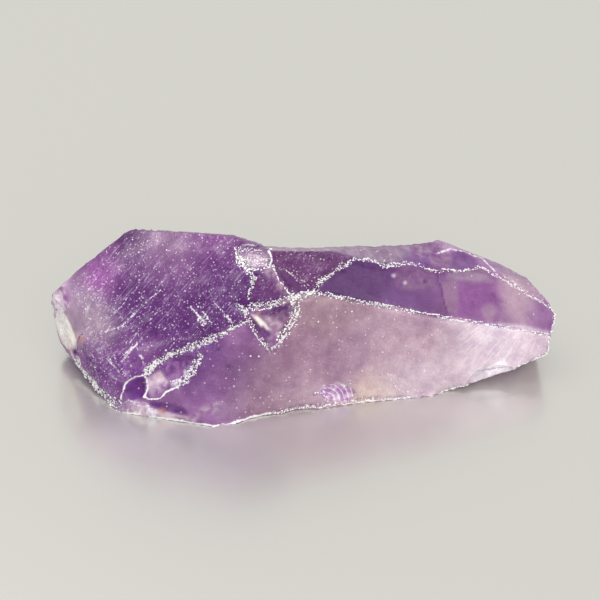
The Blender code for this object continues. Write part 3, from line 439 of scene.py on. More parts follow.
# Crushed ridges: reach to each side, strength and the way they run.
CRUSHED = {
    "left_ridge_top": (0.5, 1.0, ((-5.0, 4.1, 9.7), (-6.4, 4.0, 8.9), (-8.1, 4.2, 7.6))),
    "left_ridge": (0.85, 1.0, (
        (-8.1, 4.2, 7.6), (-10.1, 4.2, 6.7), (-12.0, 4.1, 5.7), (-13.6, 4.0, 4.8), (-14.3, 3.8, 4.2),
        (-14.7, 3.7, 3.7),
    )),
    "chip_rim": (0.8, 1.0, (
        (-9.7, 4.0, 5.6), (-9.9, 3.9, 5.1), (-10.3, 3.8, 4.5), (-10.9, 3.5, 3.5), (-11.7, 3.3, 2.9),
    )),
    "front_ridge_start": (0.7, 1.1, (
        (-1.0, 5.8, 11.4), (-0.4, 5.8, 11.3), (0.3, 6.0, 11.3), (1.0, 6.2, 11.4),
    )),
    "front_ridge": (0.36, 0.95, (
        (1.0, 6.2, 11.4), (2.2, 6.5, 11.2), (4.6, 6.7, 10.4), (6.4, 6.9, 9.8), (8.2, 7.1, 9.3),
        (9.7, 7.2, 8.9), (11.1, 7.3, 8.4),
    )),
    "front_ridge_end": (0.22, 0.8, (
        (11.1, 7.3, 8.4), (13.7, 7.6, 7.8), (16.0, 7.8, 7.1), (19.0, 8.2, 6.2), (21.6, 8.5, 5.5),
        (24.3, 8.7, 4.7),
    )),
    "dusky_ridge": (0.4, 0.9, (
        (1.3, 6.4, 11.5), (1.9, 7.6, 12.0), (2.6, 8.1, 12.3), (3.3, 8.6, 12.5), (4.3, 9.0, 12.9),
        (5.2, 9.6, 13.1),
    )),
    "upper_ridge": (0.38, 0.85, (
        (5.2, 9.6, 13.1), (6.8, 10.2, 12.7), (8.0, 9.8, 12.2), (9.3, 10.4, 12.0), (10.8, 11.2, 11.7),
        (12.8, 10.6, 11.1), (15.0, 11.1, 10.8), (17.3, 12.2, 10.4),
    )),
    "tip_ridge": (0.55, 0.8, (
        (17.3, 12.6, 10.4), (18.7, 11.9, 10.0), (19.9, 12.0, 9.3), (21.5, 11.7, 8.4), (23.0, 11.4, 7.5),
        (24.8, 11.0, 6.5),
    )),
    "facet_left": (0.38, 0.95, (
        (-6.1, 7.4, 15.3), (-5.4, 6.7, 14.4), (-4.8, 6.1, 13.8), (-4.2, 6.0, 13.4), (-4.4, 5.7, 12.9),
        (-4.9, 5.1, 11.8),
    )),
    "facet_low": (0.4, 1.0, (
        (-4.7, 4.8, 11.1), (-3.4, 5.1, 10.9), (-2.3, 5.3, 10.9), (-1.0, 5.7, 11.3),
    )),
    "facet_beads": (0.6, 0.85, (
        (-5.9, 4.9, 10.9), (-5.3, 4.5, 10.6), (-4.4, 4.6, 10.7), (-2.4, 5.1, 10.6),
    )),
    "sliver_left": (0.3, 0.9, (
        (-2.3, 6.7, 13.9), (-2.0, 6.4, 13.1), (-1.3, 6.4, 12.2), (-1.0, 5.9, 11.6),
    )),
    "notch_left": (0.24, 1.0, (
        (-5.7, 4.7, 10.9), (-4.8, 4.2, 9.9), (-4.3, 4.0, 8.8), (-3.7, 3.9, 7.7), (-2.8, 3.9, 6.5),
    )),
    "notch_right": (0.34, 1.05, (
        (-0.4, 5.6, 10.7), (-0.1, 5.5, 9.8), (-0.4, 5.2, 9.0), (-0.9, 4.9, 8.4), (-1.8, 4.3, 7.1),
        (-2.6, 3.9, 6.4),
    )),
    "notch_inner": (0.22, 0.8, (
        (-0.8, 5.6, 11.0), (-0.5, 5.6, 10.2), (-1.1, 5.0, 8.9), (-2.1, 4.3, 7.3),
    )),
    "crown_left": (0.55, 1.0, (
        (-5.6, 7.7, 15.6), (-5.4, 7.4, 14.8), (-5.0, 7.0, 14.3), (-4.4, 6.6, 14.1),
    )),
    "crown_low": (0.45, 0.9, (
        (-4.8, 6.4, 14.2), (-3.9, 6.3, 14.2), (-3.0, 6.5, 14.2), (-2.3, 7.1, 14.0),
    )),
    "crown_heap_a": (0.32, 1.0, (
        (-5.4, 7.4, 14.8), (-4.7, 7.5, 14.4), (-4.0, 7.8, 14.3), (-3.1, 7.7, 14.3),
    )),
    "crown_heap_b": (0.3, 0.9, (
        (-5.3, 6.8, 14.6), (-4.5, 7.3, 14.2), (-3.6, 7.4, 14.1), (-3.0, 7.0, 14.2),
    )),
    "crown_heap_c": (0.25, 0.7, (
        (-5.5, 7.7, 15.1), (-5.1, 7.9, 15.3), (-4.3, 8.1, 15.0), (-3.6, 8.3, 14.7),
    )),
    "crown_side": (0.22, 0.9, (
        (-6.1, 7.6, 15.7), (-5.9, 7.2, 15.0), (-5.9, 6.9, 14.4), (-5.1, 6.4, 14.1), (-4.4, 6.0, 13.7),
    )),
    "heel_crest": (0.16, 0.8, ((18.2, 6.9, 1.6), (19.3, 7.2, 1.6), (20.3, 7.3, 1.7))),
    "chip_bank_crumbs": (0.3, 0.8, (
        (-11.9, 3.2, 2.5), (-10.9, 3.4, 3.2), (-10.1, 3.6, 4.1), (-9.7, 3.9, 5.1),
    )),
    "chip_bank_top": (0.22, 0.7, ((-12.3, 3.5, 3.0), (-11.3, 3.7, 3.4), (-10.5, 3.9, 4.4))),
    "end_rim": (1.2, 1.0, (
        (-22.4, 8.9, 1.4), (-21.2, 7.1, 0.9), (-20.3, 5.7, 0.9), (-19.5, 4.9, 0.5), (-18.5, 3.6, 0.5),
        (-17.7, 2.7, 0.6),
    )),
    "foot_edge_right": (0.28, 0.85, (
        (-3.1, 2.1, 0.2), (0.0, 2.9, 0.3), (2.9, 3.4, 0.3), (4.8, 3.8, 0.3), (6.6, 4.2, 0.3),
        (9.7, 4.6, 0.1), (13.9, 5.6, 0.1), (16.6, 6.2, 0.5),
    )),
    "tip_rim": (0.26, 0.9, (
        (20.6, 7.2, 1.4), (21.8, 7.4, 1.9), (23.1, 7.8, 2.4), (24.3, 8.1, 2.9), (24.6, 8.6, 4.5),
        (25.0, 9.6, 5.7), (24.8, 11.0, 6.4),
    )),
    "shell_rim": (0.3, 0.8, ((1.4, 3.5, 1.5), (2.2, 3.8, 1.6), (2.6, 3.6, 0.8))),
}

# Thin bright lines, smooth rather than crushed: reach to each side, strength and course.
LIPS = {
    "chip_lip": (0.2, 1.0, (
        (-11.4, 3.3, 2.9), (-12.1, 3.2, 2.5), (-12.9, 2.9, 2.1), (-13.4, 2.6, 1.7), (-13.9, 2.5, 1.6),
        (-15.0, 2.8, 1.7),
    )),
    "scoop_lip": (0.22, 1.1, (
        (-17.5, 2.8, 1.3), (-16.8, 3.5, 2.6), (-16.0, 3.8, 3.2), (-15.1, 3.6, 3.6), (-14.6, 3.6, 3.2),
        (-14.6, 3.4, 2.4), (-14.9, 2.8, 1.8),
    )),
    "foot_lip": (0.25, 1.2, (
        (-18.5, 3.6, 0.1), (-17.5, 2.6, 0.1), (-14.7, 1.9, 0.1), (-11.8, 1.2, 0.1), (-9.0, 0.5, 0.1),
        (-7.6, 0.4, 0.1), (-6.5, 0.6, 0.1), (-5.3, 1.2, 0.1), (-3.1, 2.1, 0.2),
    )),
    "sliver_top": (0.16, 0.9, (
        (-2.0, 7.3, 13.7), (-0.9, 7.2, 12.9), (0.3, 6.8, 12.0), (0.7, 6.5, 11.8),
    )),
    "sliver_high": (0.16, 0.8, ((-1.6, 7.4, 13.6), (-0.4, 7.3, 12.8), (0.9, 7.0, 12.0))),
    "facet_side_a": (0.2, 0.8, ((-15.7, 5.3, 6.2), (-16.4, 5.0, 5.3), (-17.2, 4.7, 4.5))),
    "facet_side_b": (0.2, 0.8, ((-15.6, 5.3, 6.1), (-15.3, 4.6, 5.2), (-14.9, 4.1, 4.5))),
    "cross_scratch_a": (0.17, 1.1, ((-10.4, 6.0, 10.0), (-9.6, 5.4, 9.4), (-8.7, 4.8, 8.8))),
    "cross_scratch_b": (0.17, 1.1, ((-8.0, 5.6, 10.7), (-7.2, 5.0, 10.1), (-6.5, 4.3, 9.4))),
    "cross_scratch_c": (0.17, 1.1, ((-9.2, 5.5, 9.8), (-8.3, 4.8, 9.1))),
    "cross_scratch_d": (0.17, 1.1, ((-9.8, 5.4, 9.2), (-9.2, 4.8, 8.7))),
    "shoulder_outer": (0.22, 0.6, (
        (20.6, 14.0, 8.9), (21.7, 14.0, 8.3), (23.0, 13.5, 7.6), (24.5, 11.6, 6.6),
    )),
    "foot_streak_a": (0.16, 0.8, ((-16.7, 2.4, 0.1), (-16.6, 2.4, 1.0))),
    "foot_streak_b": (0.2, 0.8, ((-15.4, 2.0, 0.1), (-15.2, 2.0, 1.1))),
    "foot_streak_c": (0.16, 0.8, ((-14.8, 1.9, 0.3), (-14.5, 2.0, 1.2))),
    "crown_right": (0.28, 1.2, ((-2.8, 8.9, 14.8), (-2.8, 7.9, 14.7), (-2.8, 7.1, 14.3))),
    "crown_top": (0.25, 1.0, ((-5.3, 7.8, 15.7), (-4.8, 7.9, 15.8), (-4.1, 8.2, 15.5))),
    "scratch_a": (0.2, 0.7, ((-17.4, 6.4, 7.1), (-15.9, 6.9, 8.6), (-13.3, 7.5, 10.9))),
    "scratch_b": (0.18, 0.65, ((-16.5, 5.5, 6.1), (-14.5, 6.2, 8.1), (-13.0, 6.7, 9.7))),
    "scratch_c": (0.22, 0.6, ((-19.6, 6.5, 6.5), (-18.0, 6.5, 7.0), (-16.7, 6.4, 7.5))),
    "scratch_d": (0.18, 0.6, ((-15.5, 6.5, 8.2), (-14.1, 6.6, 8.9), (-12.3, 6.7, 10.0))),
    "scratch_e": (0.16, 0.7, ((-9.0, 9.6, 16.1), (-7.9, 8.4, 16.0), (-7.3, 8.0, 15.6))),
    "scratch_f": (0.18, 0.6, ((-8.3, 5.9, 10.9), (-6.1, 4.6, 9.4))),
    "scratch_g": (0.18, 0.6, ((-9.8, 5.7, 9.7), (-8.0, 4.9, 8.7))),
    "scratch_h": (0.18, 0.6, ((-19.2, 6.7, 6.8), (-15.8, 8.0, 10.6), (-13.3, 8.8, 13.3))),
    "chip_streak_a": (0.14, 0.7, ((-17.3, 5.0, 4.9), (-16.6, 5.1, 5.4), (-16.1, 5.3, 5.9))),
    "chip_streak_b": (0.3, 0.7, ((-18.8, 5.1, 4.5), (-18.1, 4.6, 4.1), (-17.5, 4.2, 3.6))),
    "chip_streak_c": (0.2, 0.8, ((-15.7, 5.4, 6.3), (-15.4, 4.9, 5.6), (-15.0, 4.5, 5.1))),
    "saddle_arc_a": (0.25, 0.5, ((5.0, 9.6, 13.2), (5.8, 11.1, 13.1), (7.0, 12.2, 12.8))),
    "saddle_arc_b": (0.25, 0.5, ((6.3, 9.6, 12.7), (7.3, 11.5, 12.7), (8.5, 12.7, 12.3))),
    "saddle_arc_c": (0.25, 0.5, ((8.0, 10.1, 12.4), (8.9, 12.0, 12.2), (10.1, 13.2, 12.0))),
    "crescent": (0.35, 0.75, (
        (13.5, 13.5, 11.2), (14.8, 14.7, 10.9), (16.3, 14.9, 10.5), (17.3, 14.4, 10.2),
    )),
    "rear_crumbs": (0.35, 0.8, ((16.7, 14.9, 10.3), (18.0, 14.6, 9.9), (19.0, 12.5, 9.9))),
    "shoulder_line": (0.25, 0.6, (
        (17.6, 13.2, 10.4), (19.6, 12.7, 9.5), (21.6, 12.1, 8.4), (23.6, 11.2, 7.2),
    )),
    "strip_line": (0.2, 0.75, (
        (-17.4, 2.6, 1.0), (-16.5, 2.9, 1.2), (-15.6, 2.5, 1.4), (-14.5, 2.1, 1.3),
    )),
    "low_wisp": (0.4, 0.35, ((-10.6, 2.7, 2.3), (-9.1, 2.7, 2.7), (-6.8, 2.4, 3.1))),
    "low_line_a": (0.16, 0.8, ((8.7, 5.1, 2.1), (9.5, 4.9, 1.2), (10.3, 4.8, 0.3))),
    "low_line_b": (0.14, 0.7, ((10.6, 5.2, 1.4), (11.1, 5.1, 0.9), (11.6, 5.0, 0.5))),
}

# Cracks, hair thin, each a groove with a painted shadow along it: reach to each side, strength and
# course.
CRACKS = {
    "end_crack": (0.16, 0.9, (
        (-21.0, 7.2, 6.1), (-21.5, 7.5, 5.2), (-21.8, 7.7, 4.3), (-21.9, 7.8, 3.6),
    )),
    "window_crack": (0.16, 1.0, ((13.2, 10.7, 11.1), (13.6, 9.6, 9.9), (14.1, 8.0, 8.0))),
    "curved_crack": (0.14, 0.9, ((18.7, 10.3, 8.7), (19.2, 10.0, 8.1), (20.1, 9.9, 7.7))),
}

# Edges of the solid that the stone has only as soft bends: how far the softening reaches, and
# their course.
SOFT_BENDS = (
    (2.0, ((-4.7, 3.3, 6.2), (-5.1, 2.4, 4.0), (-5.7, 1.5, 2.0), (-6.2, 0.9, 0.6))),
    (1.8, ((14.3, 6.9, 5.4), (14.2, 6.3, 3.3), (14.0, 5.7, 1.6))),
    (1.5, (
        (-22.4, 9.7, 10.5), (-21.6, 8.6, 9.0), (-20.6, 7.3, 7.3), (-19.6, 5.9, 5.4), (-18.5, 4.1, 3.1),
        (-17.7, 2.8, 1.1),
    )),
)

# Spacing of the points along a bend, for the softening and for the distance that frosted edges
# keep from it. Then how strongly and often places and tones are drawn together.
BEND_STEP = 0.4
BEND_CLEAR_STEP = 0.5
BEND_CLEAR = 1.3
BEND_PULL = 0.9
BEND_ROUNDS = 160
TONE_PULL = 0.5
TONE_ROUNDS = 1

# Depths that the surface is eaten away by: crushed ridges, slow waves and the worn left end, with
# its middle and reach. Wear and softening fade in over these heights above the flat foot.
CRUSH_DEPTH = 0.26
WAVE_DEPTH = 0.09
WORN_DEPTH = 0.35
WORN_END = (-25.0, 11.0, 5.0)
WORN_REACH = 5.0
FLAT_FOOT = 0.4
SOFT_FOOT = 0.5

# Mesh of the piece, and how far a ball may lie off a point that is on it.
GRAIN = 0.18
FACE_FIT = 0.09

# Frosted edges: the bends that start and complete them, the spacing of their points, their reach,
# and their strength on the front, which faces this way, and on the rear.
SHARP = math.radians(20)
BLUNT = math.radians(75)
RIDGE_STEP = 0.12
EDGE_REACH = 0.6
EDGE_STRENGTH_FRONT = 0.4
EDGE_STRENGTH_REAR = 0.85
FRONT_WAY = Vector((0.0, -0.82, 0.57))

# Traced lines: how far they waver, the seed and the length of a waver, and how steeply a ridge
# falls off at its reach.
WOBBLE = 0.16
WOBBLE_SEED = 7
WOBBLE_LUMP = 1.1
RIDGE_STEEP = 1.7

# Camera: what it looks at, how far away, how steeply, and its lens.
LOOK_AT = (-0.15, -1.42, 8.98)
CAMERA_DISTANCE = 163.7
CAMERA_ANGLE = math.radians(35)
LENS = 102

# The studio's even light, and the stone's own sheen, which a tone on the stone is measured by.
EVEN_LIGHT = 0.8
SHEEN = np.array((0.026, 0.056, 0.02))

# Quartz: its index of refraction, the tint of its gloss, and the colour that light takes in it.
QUARTZ_IOR = 1.544
GLOSS_TINT = (0.88, 0.7, 0.92, 1.0)
BODY_COLOUR = (0.47, 0.08, 0.71, 1.0)
BODY_DENSITY = 85.0

# Filters that make a tone lighter and deeper, and the tint of the shade painted between crumbs and
# along cracks.
WHITE = (1.0, 1.0, 1.0, 1.0)
LIGHTER = (1.22, 1.22, 1.2, 1.0)
DEEPER = (0.76, 0.66, 0.79, 1.0)
PAINTED_SHADE_TINT = (0.36, 0.17, 0.46, 1.0)

# Fine streaks and bristles on dusty faces: the way they run, and their size in metres.
STREAK_RUN = (0.65, 0.23, 0.72)
STREAK_SIZE = (0.0035, 0.00013, 0.00013)
BRISTLE_SIZE = (0.00035, 0.00014, 0.00014)

# Crumbs along the crushed ridges: share of a ridge's reach they spread over, and sizes in metres.
CRUMB_SPREAD = 0.4
CRUMB_SIZES = {"Spacing": 0.000055, "Smallest": 0.00002, "Largest": 0.0001}
CRUMB_SEED = 11

# The floor in metres, and its paint.
FLOOR_SIDE = 1.5
FLOOR_COLOUR = (0.68, 0.675, 0.64, 1.0)


def linear(tone):
    """The paint that gives a named tone under the even light and the surface's own sheen."""
    screen = np.array(TONES[tone]) / 255
    seen = np.where(screen > 0.04045, ((screen + 0.055) / 1.055) ** 2.4, screen / 12.92)
    return np.clip((seen - SHEEN) / (1 - SHEEN) / EVEN_LIGHT, 0.004, 0.97)


def in_block(points):
    """Points of a mesh, in millimetres and where the constants measure from."""
    return points / MM + FOOTPRINT_MIDDLE


def in_frame(point):
    """A point of the constants, in metres on the stone."""
    return Vector((np.array(point) - FOOTPRINT_MIDDLE) * MM)


def distances(places, place):
    return np.linalg.norm(places - np.array(place), axis=1)


def moved_noise(points, lump, seed):
    """Where each point lies in the noise of this seed, whose lumps are this size."""
    shift = Vector((seed * 17.3, seed * 5.1, seed * 9.7))
    return [Vector(point) / lump + shift for point in points]


def cloud(points, lump, octaves, seed):
    """Smooth noise, about -1 to 1."""
    spots = moved_noise(points, lump, seed)
    return np.array([noise.fractal(spot, 1.0, 2.0, octaves) for spot in spots])


def pebbles(points, lump, seed):
    """0 in the middle of each rounded cell and up towards 1 between them."""
    return np.array([noise.voronoi(spot)[0][0] for spot in moved_noise(points, lump, seed)])


def fading(place, lump, share):
    """A factor around 1 that rises and falls along a line."""
    return 1 + share * noise.noise(Vector(place / lump))


def smooth(low, high, values):
    share = np.clip((values - low) / (high - low), 0, 1)
    return share * share * (3 - 2 * share)


def gathered(items, field, width, kind=float):
    """One row of numbers for each item of a mesh."""
    flat = np.empty(len(items) * width, kind)
    items.foreach_get(field, flat)
    return flat.reshape(-1, width)


def move_points(mesh, points):
    mesh.vertices.foreach_set("co", points.ravel())
    mesh.update()


def inside_box(points):
    """Points held inside the solid's box."""
    low, high = (np.array(corner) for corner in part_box("amethyst"))
    return np.clip(points, low, high)


def added(name, data):
    """A new object in the scene."""
    obj = bpy.data.objects.new(name, data)
    bpy.context.scene.collection.objects.link(obj)
    return obj


def settle_modifiers(obj):
    """Turns what an object's modifiers make into its plain mesh."""
    seen = obj.evaluated_get(bpy.context.evaluated_depsgraph_get())
    made = bpy.data.meshes.new_from_object(seen)
    obj.modifiers.clear()
    obj.data = made
    return made


def soften(values, links, weight, rounds):
    """Draws each point's values towards its neighbours' mean, as far as its weight says."""
    size = len(values)
    count = np.bincount(links.ravel(), minlength=size)
    for _ in range(rounds):
        for column in range(values.shape[1]):
            row = values[:, column]
            total = np.bincount(links[:, 0], row[links[:, 1]], size)
            total += np.bincount(links[:, 1], row[links[:, 0]], size)
            values[:, column] = row + weight * (total / count - row)
    return values


def solid_shape(node):
    """The CAD solid as one closed bmesh."""
    shape = bmesh.new()
    shape.from_mesh(node.data)
    bmesh.ops.remove_doubles(shape, verts=shape.verts, dist=0.001 * MM)
    shape.normal_update()
    return shape


def along_path(points, step):
    """Points at even steps along a line through these."""
    found = []
    for start, end in zip(points, points[1:]):
        start = np.array(start, float)
        arm = np.array(end) - start
        steps = max(1, round(np.linalg.norm(arm) / step))
        found += [start + arm * number / steps for number in range(steps)]
    return found + [np.array(points[-1], float)]


def traced(paths, skin):
    """Points along these paths, wavering a little and laid on the stone: place, reach, strength."""
    found = []
    for reach, strength, points in paths.values():
        for place in along_path(points, RIDGE_STEP):
            waver = np.array(noise.noise_vector(Vector(place / WOBBLE_LUMP))) * WOBBLE
            laid = skin.find_nearest(in_frame(place + waver))[0]
            power = strength * fading(place, lump=0.9, share=0.35)
            found.append((in_block(np.array(laid)), reach, power))
    return found


def edge_points(shape):
    """Points along the solid's sharp edges, frosted less on the front and not on soft bends."""
    bends = [place for _, points in SOFT_BENDS for place in along_path(points, BEND_CLEAR_STEP)]
    bends = np.array(bends)
    found = []
    for edge in shape.edges:
        if len(edge.link_faces) != 2 or edge.calc_length() < 1e-9:
            continue
        bend = edge.calc_face_angle_signed(0.0)
        if bend < SHARP:
            continue
        crispness = min(1.0, (bend - SHARP) / (BLUNT - SHARP))
        seen = any(face.normal.dot(FRONT_WAY) > 0 for face in edge.link_faces)
        strength = (EDGE_STRENGTH_FRONT if seen else EDGE_STRENGTH_REAR) * (0.5 + 0.5 * crispness)
        ends = [in_block(np.array(vert.co)) for vert in edge.verts]
        for place in along_path(ends, RIDGE_STEP):
            if distances(bends, place).min() >= BEND_CLEAR:
                power = strength * fading(place, lump=1.6, share=0.6)
                found.append((place, EDGE_REACH, power))
    return found


def nearness(places, found, steep=1.0):
    """The strength on a traced line, falling to 0 at its reach; a steep one keeps it for longer."""
    tree = KDTree(len(found))
    for number, (place, _, _) in enumerate(found):
        tree.insert(place, number)
    tree.balance()
    widest = max(reach for _, reach, _ in found)
    near = np.zeros(len(places))
    for index, place in enumerate(places):
        for _, number, far in tree.find_range(place, widest):
            _, reach, strength = found[number]
            near[index] = max(near[index], strength * min(1.0, steep * (1 - far / reach)))
    return near


def fine_mesh(shape, skin):
    """A mesh of even grain over the solid's faces."""
    merged = bpy.data.meshes.new("grain")
    shape.to_mesh(merged)
    obj = added("amethyst_stone", merged)
    remesh = obj.modifiers.new("grain", "REMESH")
    remesh.mode = "VOXEL"
    remesh.voxel_size = GRAIN * MM
    remesh.use_smooth_shade = True
    even = settle_modifiers(obj)
    places = gathered(even.vertices, "co", 3)
    for index, place in enumerate(places):
        places[index] = skin.find_nearest(Vector(place))[0]
    move_points(even, places)
    return obj


def ball_centre(face):
    """Middle of the ball whose surface this hollow face is part of."""
    a, b, c = (Vector(corner) for corner in face["corners"])
    first = b - a
    second = c - a
    normal = first.cross(second)
    centre = a + (
        second.length_squared * normal.cross(first) + first.length_squared * second.cross(normal)
    ) / (2 * normal.length_squared)
    normal.normalize()
    if normal.dot(Vector(face["looks_to"])) < 0:
        normal.negate()
    rim = (a - centre).length
    return centre + normal * math.sqrt(face["radius"] ** 2 - rim**2)


def inside_outline(places, area):
    """1 inside an area's outline and 0 outside, with a soft rim."""
    corners = np.array(area["outline"], float)
    middle = corners.mean(0)
    arms = corners - middle
    up = np.cross(arms, np.roll(arms, -1, axis=0)).sum(0)
    up /= np.linalg.norm(up)
    along = arms[0] - up * (arms[0] @ up)
    along /= np.linalg.norm(along)
    across = np.cross(up, along)
    away = places - middle
    u = away @ along
    v = away @ across
    flat = np.column_stack((arms @ along, arms @ across))
    nearest = np.full(len(places), np.inf)
    inside = np.zeros(len(places), bool)
    for (u0, v0), (u1, v1) in zip(flat, np.roll(flat, -1, axis=0)):
        run = ((u - u0) * (u1 - u0) + (v - v0) * (v1 - v0)) / ((u1 - u0) ** 2 + (v1 - v0) ** 2)
        run = np.clip(run, 0, 1)
        off = np.hypot(u - u0 - run * (u1 - u0), v - v0 - run * (v1 - v0))
        nearest = np.minimum(nearest, off)
        if v0 != v1:
            inside ^= ((v0 > v) != (v1 > v)) & (u < u0 + (v - v0) * (u1 - u0) / (v1 - v0))
    depth = np.where(inside, nearest, -nearest)
    soft = area.get("soft", RIM)
    thick = area.get("thick", THICK)
    level = 1 - smooth(thick, thick + 0.3, np.abs(away @ up))
    return smooth(-soft, soft, depth) * level


def face_shares(places):
    """How much each point belongs to each broken face."""
    shares = {}
    for name, face in FACES.items():
        if "outline" in face:
            shares[name] = inside_outline(places, face)
            continue
        off = np.abs(distances(places, ball_centre(face)) - face["radius"])
        nearest = np.min([distances(places, place) for place, *_ in face["zones"]], axis=0)
        shares[name] = np.exp(-((off / FACE_FIT) ** 2)) * (1 - smooth(*FACE_END, nearest))
    outlined = [name for name in FACES if "outline" in FACES[name]]
    for name in outlined:
        for other in FACES:
            if other not in outlined:
                shares[other] *= 1 - shares[name]
    return shares


def paint_tones(places, shares, patches):
    """The tone and milkiness of each point."""
    weight = np.full(len(places), PLAIN_SHARE)
    tone = np.outer(weight, linear(PLAIN_TONE))
    milk = weight * PLAIN_MILK
    for name, face in FACES.items():
        for place, reach, colour, milky in face["zones"]:
            far = distances(places, place)
            near = np.exp(-((far / reach) ** 2)) + FAR_PULL * np.exp(-far / reach)
            near = near * (shares[name] + SPILL)
            weight += near
            tone += np.outer(near, linear(colour))
            milk += near * milky
    tone /= weight[:, None]
    milk /= weight
    mottles = 0.5 + 0.7 * cloud(places, lump=0.5, octaves=3, seed=7)
    for name, chip in PATCHES.items():
        near = patches[name] * chip.get("cover", COVER)
        other, share = chip["mottle"]
        spread = smooth(0.75 - share, 1.05 - share, mottles)[:, None]
        colour = linear(chip["tone"]) * (1 - spread) + linear(other) * spread
        tone += near[:, None] * (colour - tone)
        milk += near * (chip["milk"] - milk)
    for place, reach, colour, milky, cover in SPOTS.values():
        near = cover * (1 - smooth(0.4 * reach, 1.2 * reach, distances(places, place)))
        tone += near[:, None] * (linear(colour) - tone)
        milk += near * (milky - milk)
    return np.column_stack((tone, milk))


def strike_marks(places, shares, patches):
    """Hackles and rings at each point: bearing, phase, whitened rings; hackle, ring, dust."""
    best = np.full(len(places), NO_FACE)
    others = sum(shares.values()) + NO_FACE
    run = np.zeros((len(places), 3))
    marks = np.zeros((len(places), 3))
    marks[:, 2] = PLAIN_DUST
    for name, face in FACES.items():
        here = shares[name] > best
        best = np.maximum(best, shares[name])
        up = Vector(face.get("looks_to", FRONT_SIDE)).normalized()
        along = np.array(up.cross(Vector((0, 0, 1))) if abs(up.z) < 0.9 else Vector((1, 0, 0)))
        across = np.array(up.cross(Vector(along)))
        strike = np.array(face["strike"], float)
        heading = np.mean([place for place, *_ in face["zones"]], axis=0) - strike
        turn = math.atan2(heading @ across, heading @ along)
        away = places - strike
        bearing = np.arctan2(away @ across, away @ along) - turn
        bearing = (bearing + math.pi) % (2 * math.pi) - math.pi
        phase = distances(places, strike) * 2 * math.pi / face["period"]
        whitened = np.full(len(places), face.get("ribbed", 0.0))
        run[here] = np.column_stack((bearing * face["rays"], phase, whitened))[here]
        marks[here] = (face["hackle"], face["ring"], face["dust"])
    marks[:, :2] *= smooth(*FACE_CERTAIN, best / others)[:, None]
    for name, chip in PATCHES.items():
        here = patches[name] > 0.5
        if "dust" in chip:
            marks[here, 2] = chip["dust"]
        if "blow" in chip:
            phase = distances(places, chip["blow"]) * 2 * math.pi / chip["period"]
            run[here, 1] = phase[here]
            run[here, 2] = chip["ribbed"]
            marks[here, 1] = 1.0
    return run, marks


def wear(places, rim):
    """How deep each point is eaten away, in millimetres, and how worn it is."""
    worn = 1 - smooth(0.35 * WORN_REACH, WORN_REACH, distances(places, WORN_END))
    rough = 0.35 + 0.9 * pebbles(places, lump=0.5, seed=2)
    rough += 0.4 * cloud(places, lump=0.9, octaves=2, seed=1)
    crush = np.clip(np.clip(rim, 0, 1) * rough, 0, 1)
    lumps = np.clip(0.5 + 0.5 * cloud(places, lump=1.2, octaves=3, seed=3), 0, 1)
    waves = 0.5 + 0.5 * cloud(places, lump=3.5, octaves=2, seed=4)
    depth = CRUSH_DEPTH * crush + WORN_DEPTH * worn * lumps + WAVE_DEPTH * waves
    return depth * smooth(0.0, FLAT_FOOT, places[:, 2]), worn


def write_attribute(mesh, name, kind, values):
    """Keeps numbers at a mesh's points, one or a few for each."""
    field = {"FLOAT": "value", "FLOAT_VECTOR": "vector", "FLOAT_COLOR": "color"}[kind]
    attribute = mesh.attributes.new(name, kind, "POINT")
    attribute.data.foreach_set(field, np.ascontiguousarray(values, np.float32).ravel())


def bend_weights(places):
    """How much each point is softened: 1 on a soft bend, 0 at its reach."""
    found = []
    for reach, points in SOFT_BENDS:
        found += [(place, reach, 1.0) for place in along_path(points, BEND_STEP)]
    return smooth(0.0, 0.6, nearness(places, found))


def stone(shape, skin):
    """The piece with its relief and its tones."""
    obj = fine_mesh(shape, skin)
    mesh = obj.data
    points = gathered(mesh.vertices, "co", 3)
    links = gathered(mesh.edges, "vertices", 2, np.int32)
    places = in_block(points)
    shares = face_shares(places)
    patches = {name: inside_outline(places, chip) for name, chip in PATCHES.items()}
    rim = nearness(places, traced(CRUSHED, skin), RIDGE_STEEP)
    rim = np.maximum(rim, nearness(places, edge_points(shape), RIDGE_STEEP))
    for name, chip in PATCHES.items():
        rim = np.maximum(rim, patches[name] * chip.get("crumbs", 0.0))
    bends = bend_weights(places) * BEND_PULL
    paint = soften(paint_tones(places, shares, patches), links, bends, BEND_ROUNDS)
    paint = soften(paint, links, np.full(len(places), TONE_PULL), TONE_ROUNDS)
    run, marks = strike_marks(places, shares, patches)
    flat = smooth(0.0, SOFT_FOOT, places[:, 2])
    soft = soften(points.copy(), links, bends * flat, BEND_ROUNDS)
    move_points(mesh, soft)
    depth, worn = wear(places, rim)
    outwards = gathered(mesh.vertices, "normal", 3)
    move_points(mesh, inside_box(soft - outwards * (depth * MM)[:, None]))
    opaque = np.ones(len(places))
    write_attribute(mesh, "tone", "FLOAT_COLOR", np.column_stack((paint[:, :3], opaque)))
    write_attribute(mesh, "milk", "FLOAT", paint[:, 3])
    write_attribute(mesh, "rim", "FLOAT", rim)
    write_attribute(mesh, "worn", "FLOAT", worn)
    write_attribute(mesh, "lip", "FLOAT", nearness(places, traced(LIPS, skin)))
    write_attribute(mesh, "crack", "FLOAT", nearness(places, traced(CRACKS, skin)))
    write_attribute(mesh, "marks", "FLOAT_VECTOR", marks)
    write_attribute(mesh, "run", "FLOAT_VECTOR", run)
    return obj


class Value:
    """What a socket carries. Reckoning with it adds Math nodes."""

    def __init__(self, nodes, socket):
        self.nodes = nodes
        self.socket = socket

    def __add__(self, other):
        return self.nodes.maths("ADD", self, other)

    __radd__ = __add__

    def __sub__(self, other):
        return self.nodes.maths("SUBTRACT", self, other)

    def __rsub__(self, other):
        return self.nodes.maths("SUBTRACT", other, self)

    def __mul__(self, other):
        return self.nodes.maths("MULTIPLY", self, other)

    __rmul__ = __mul__


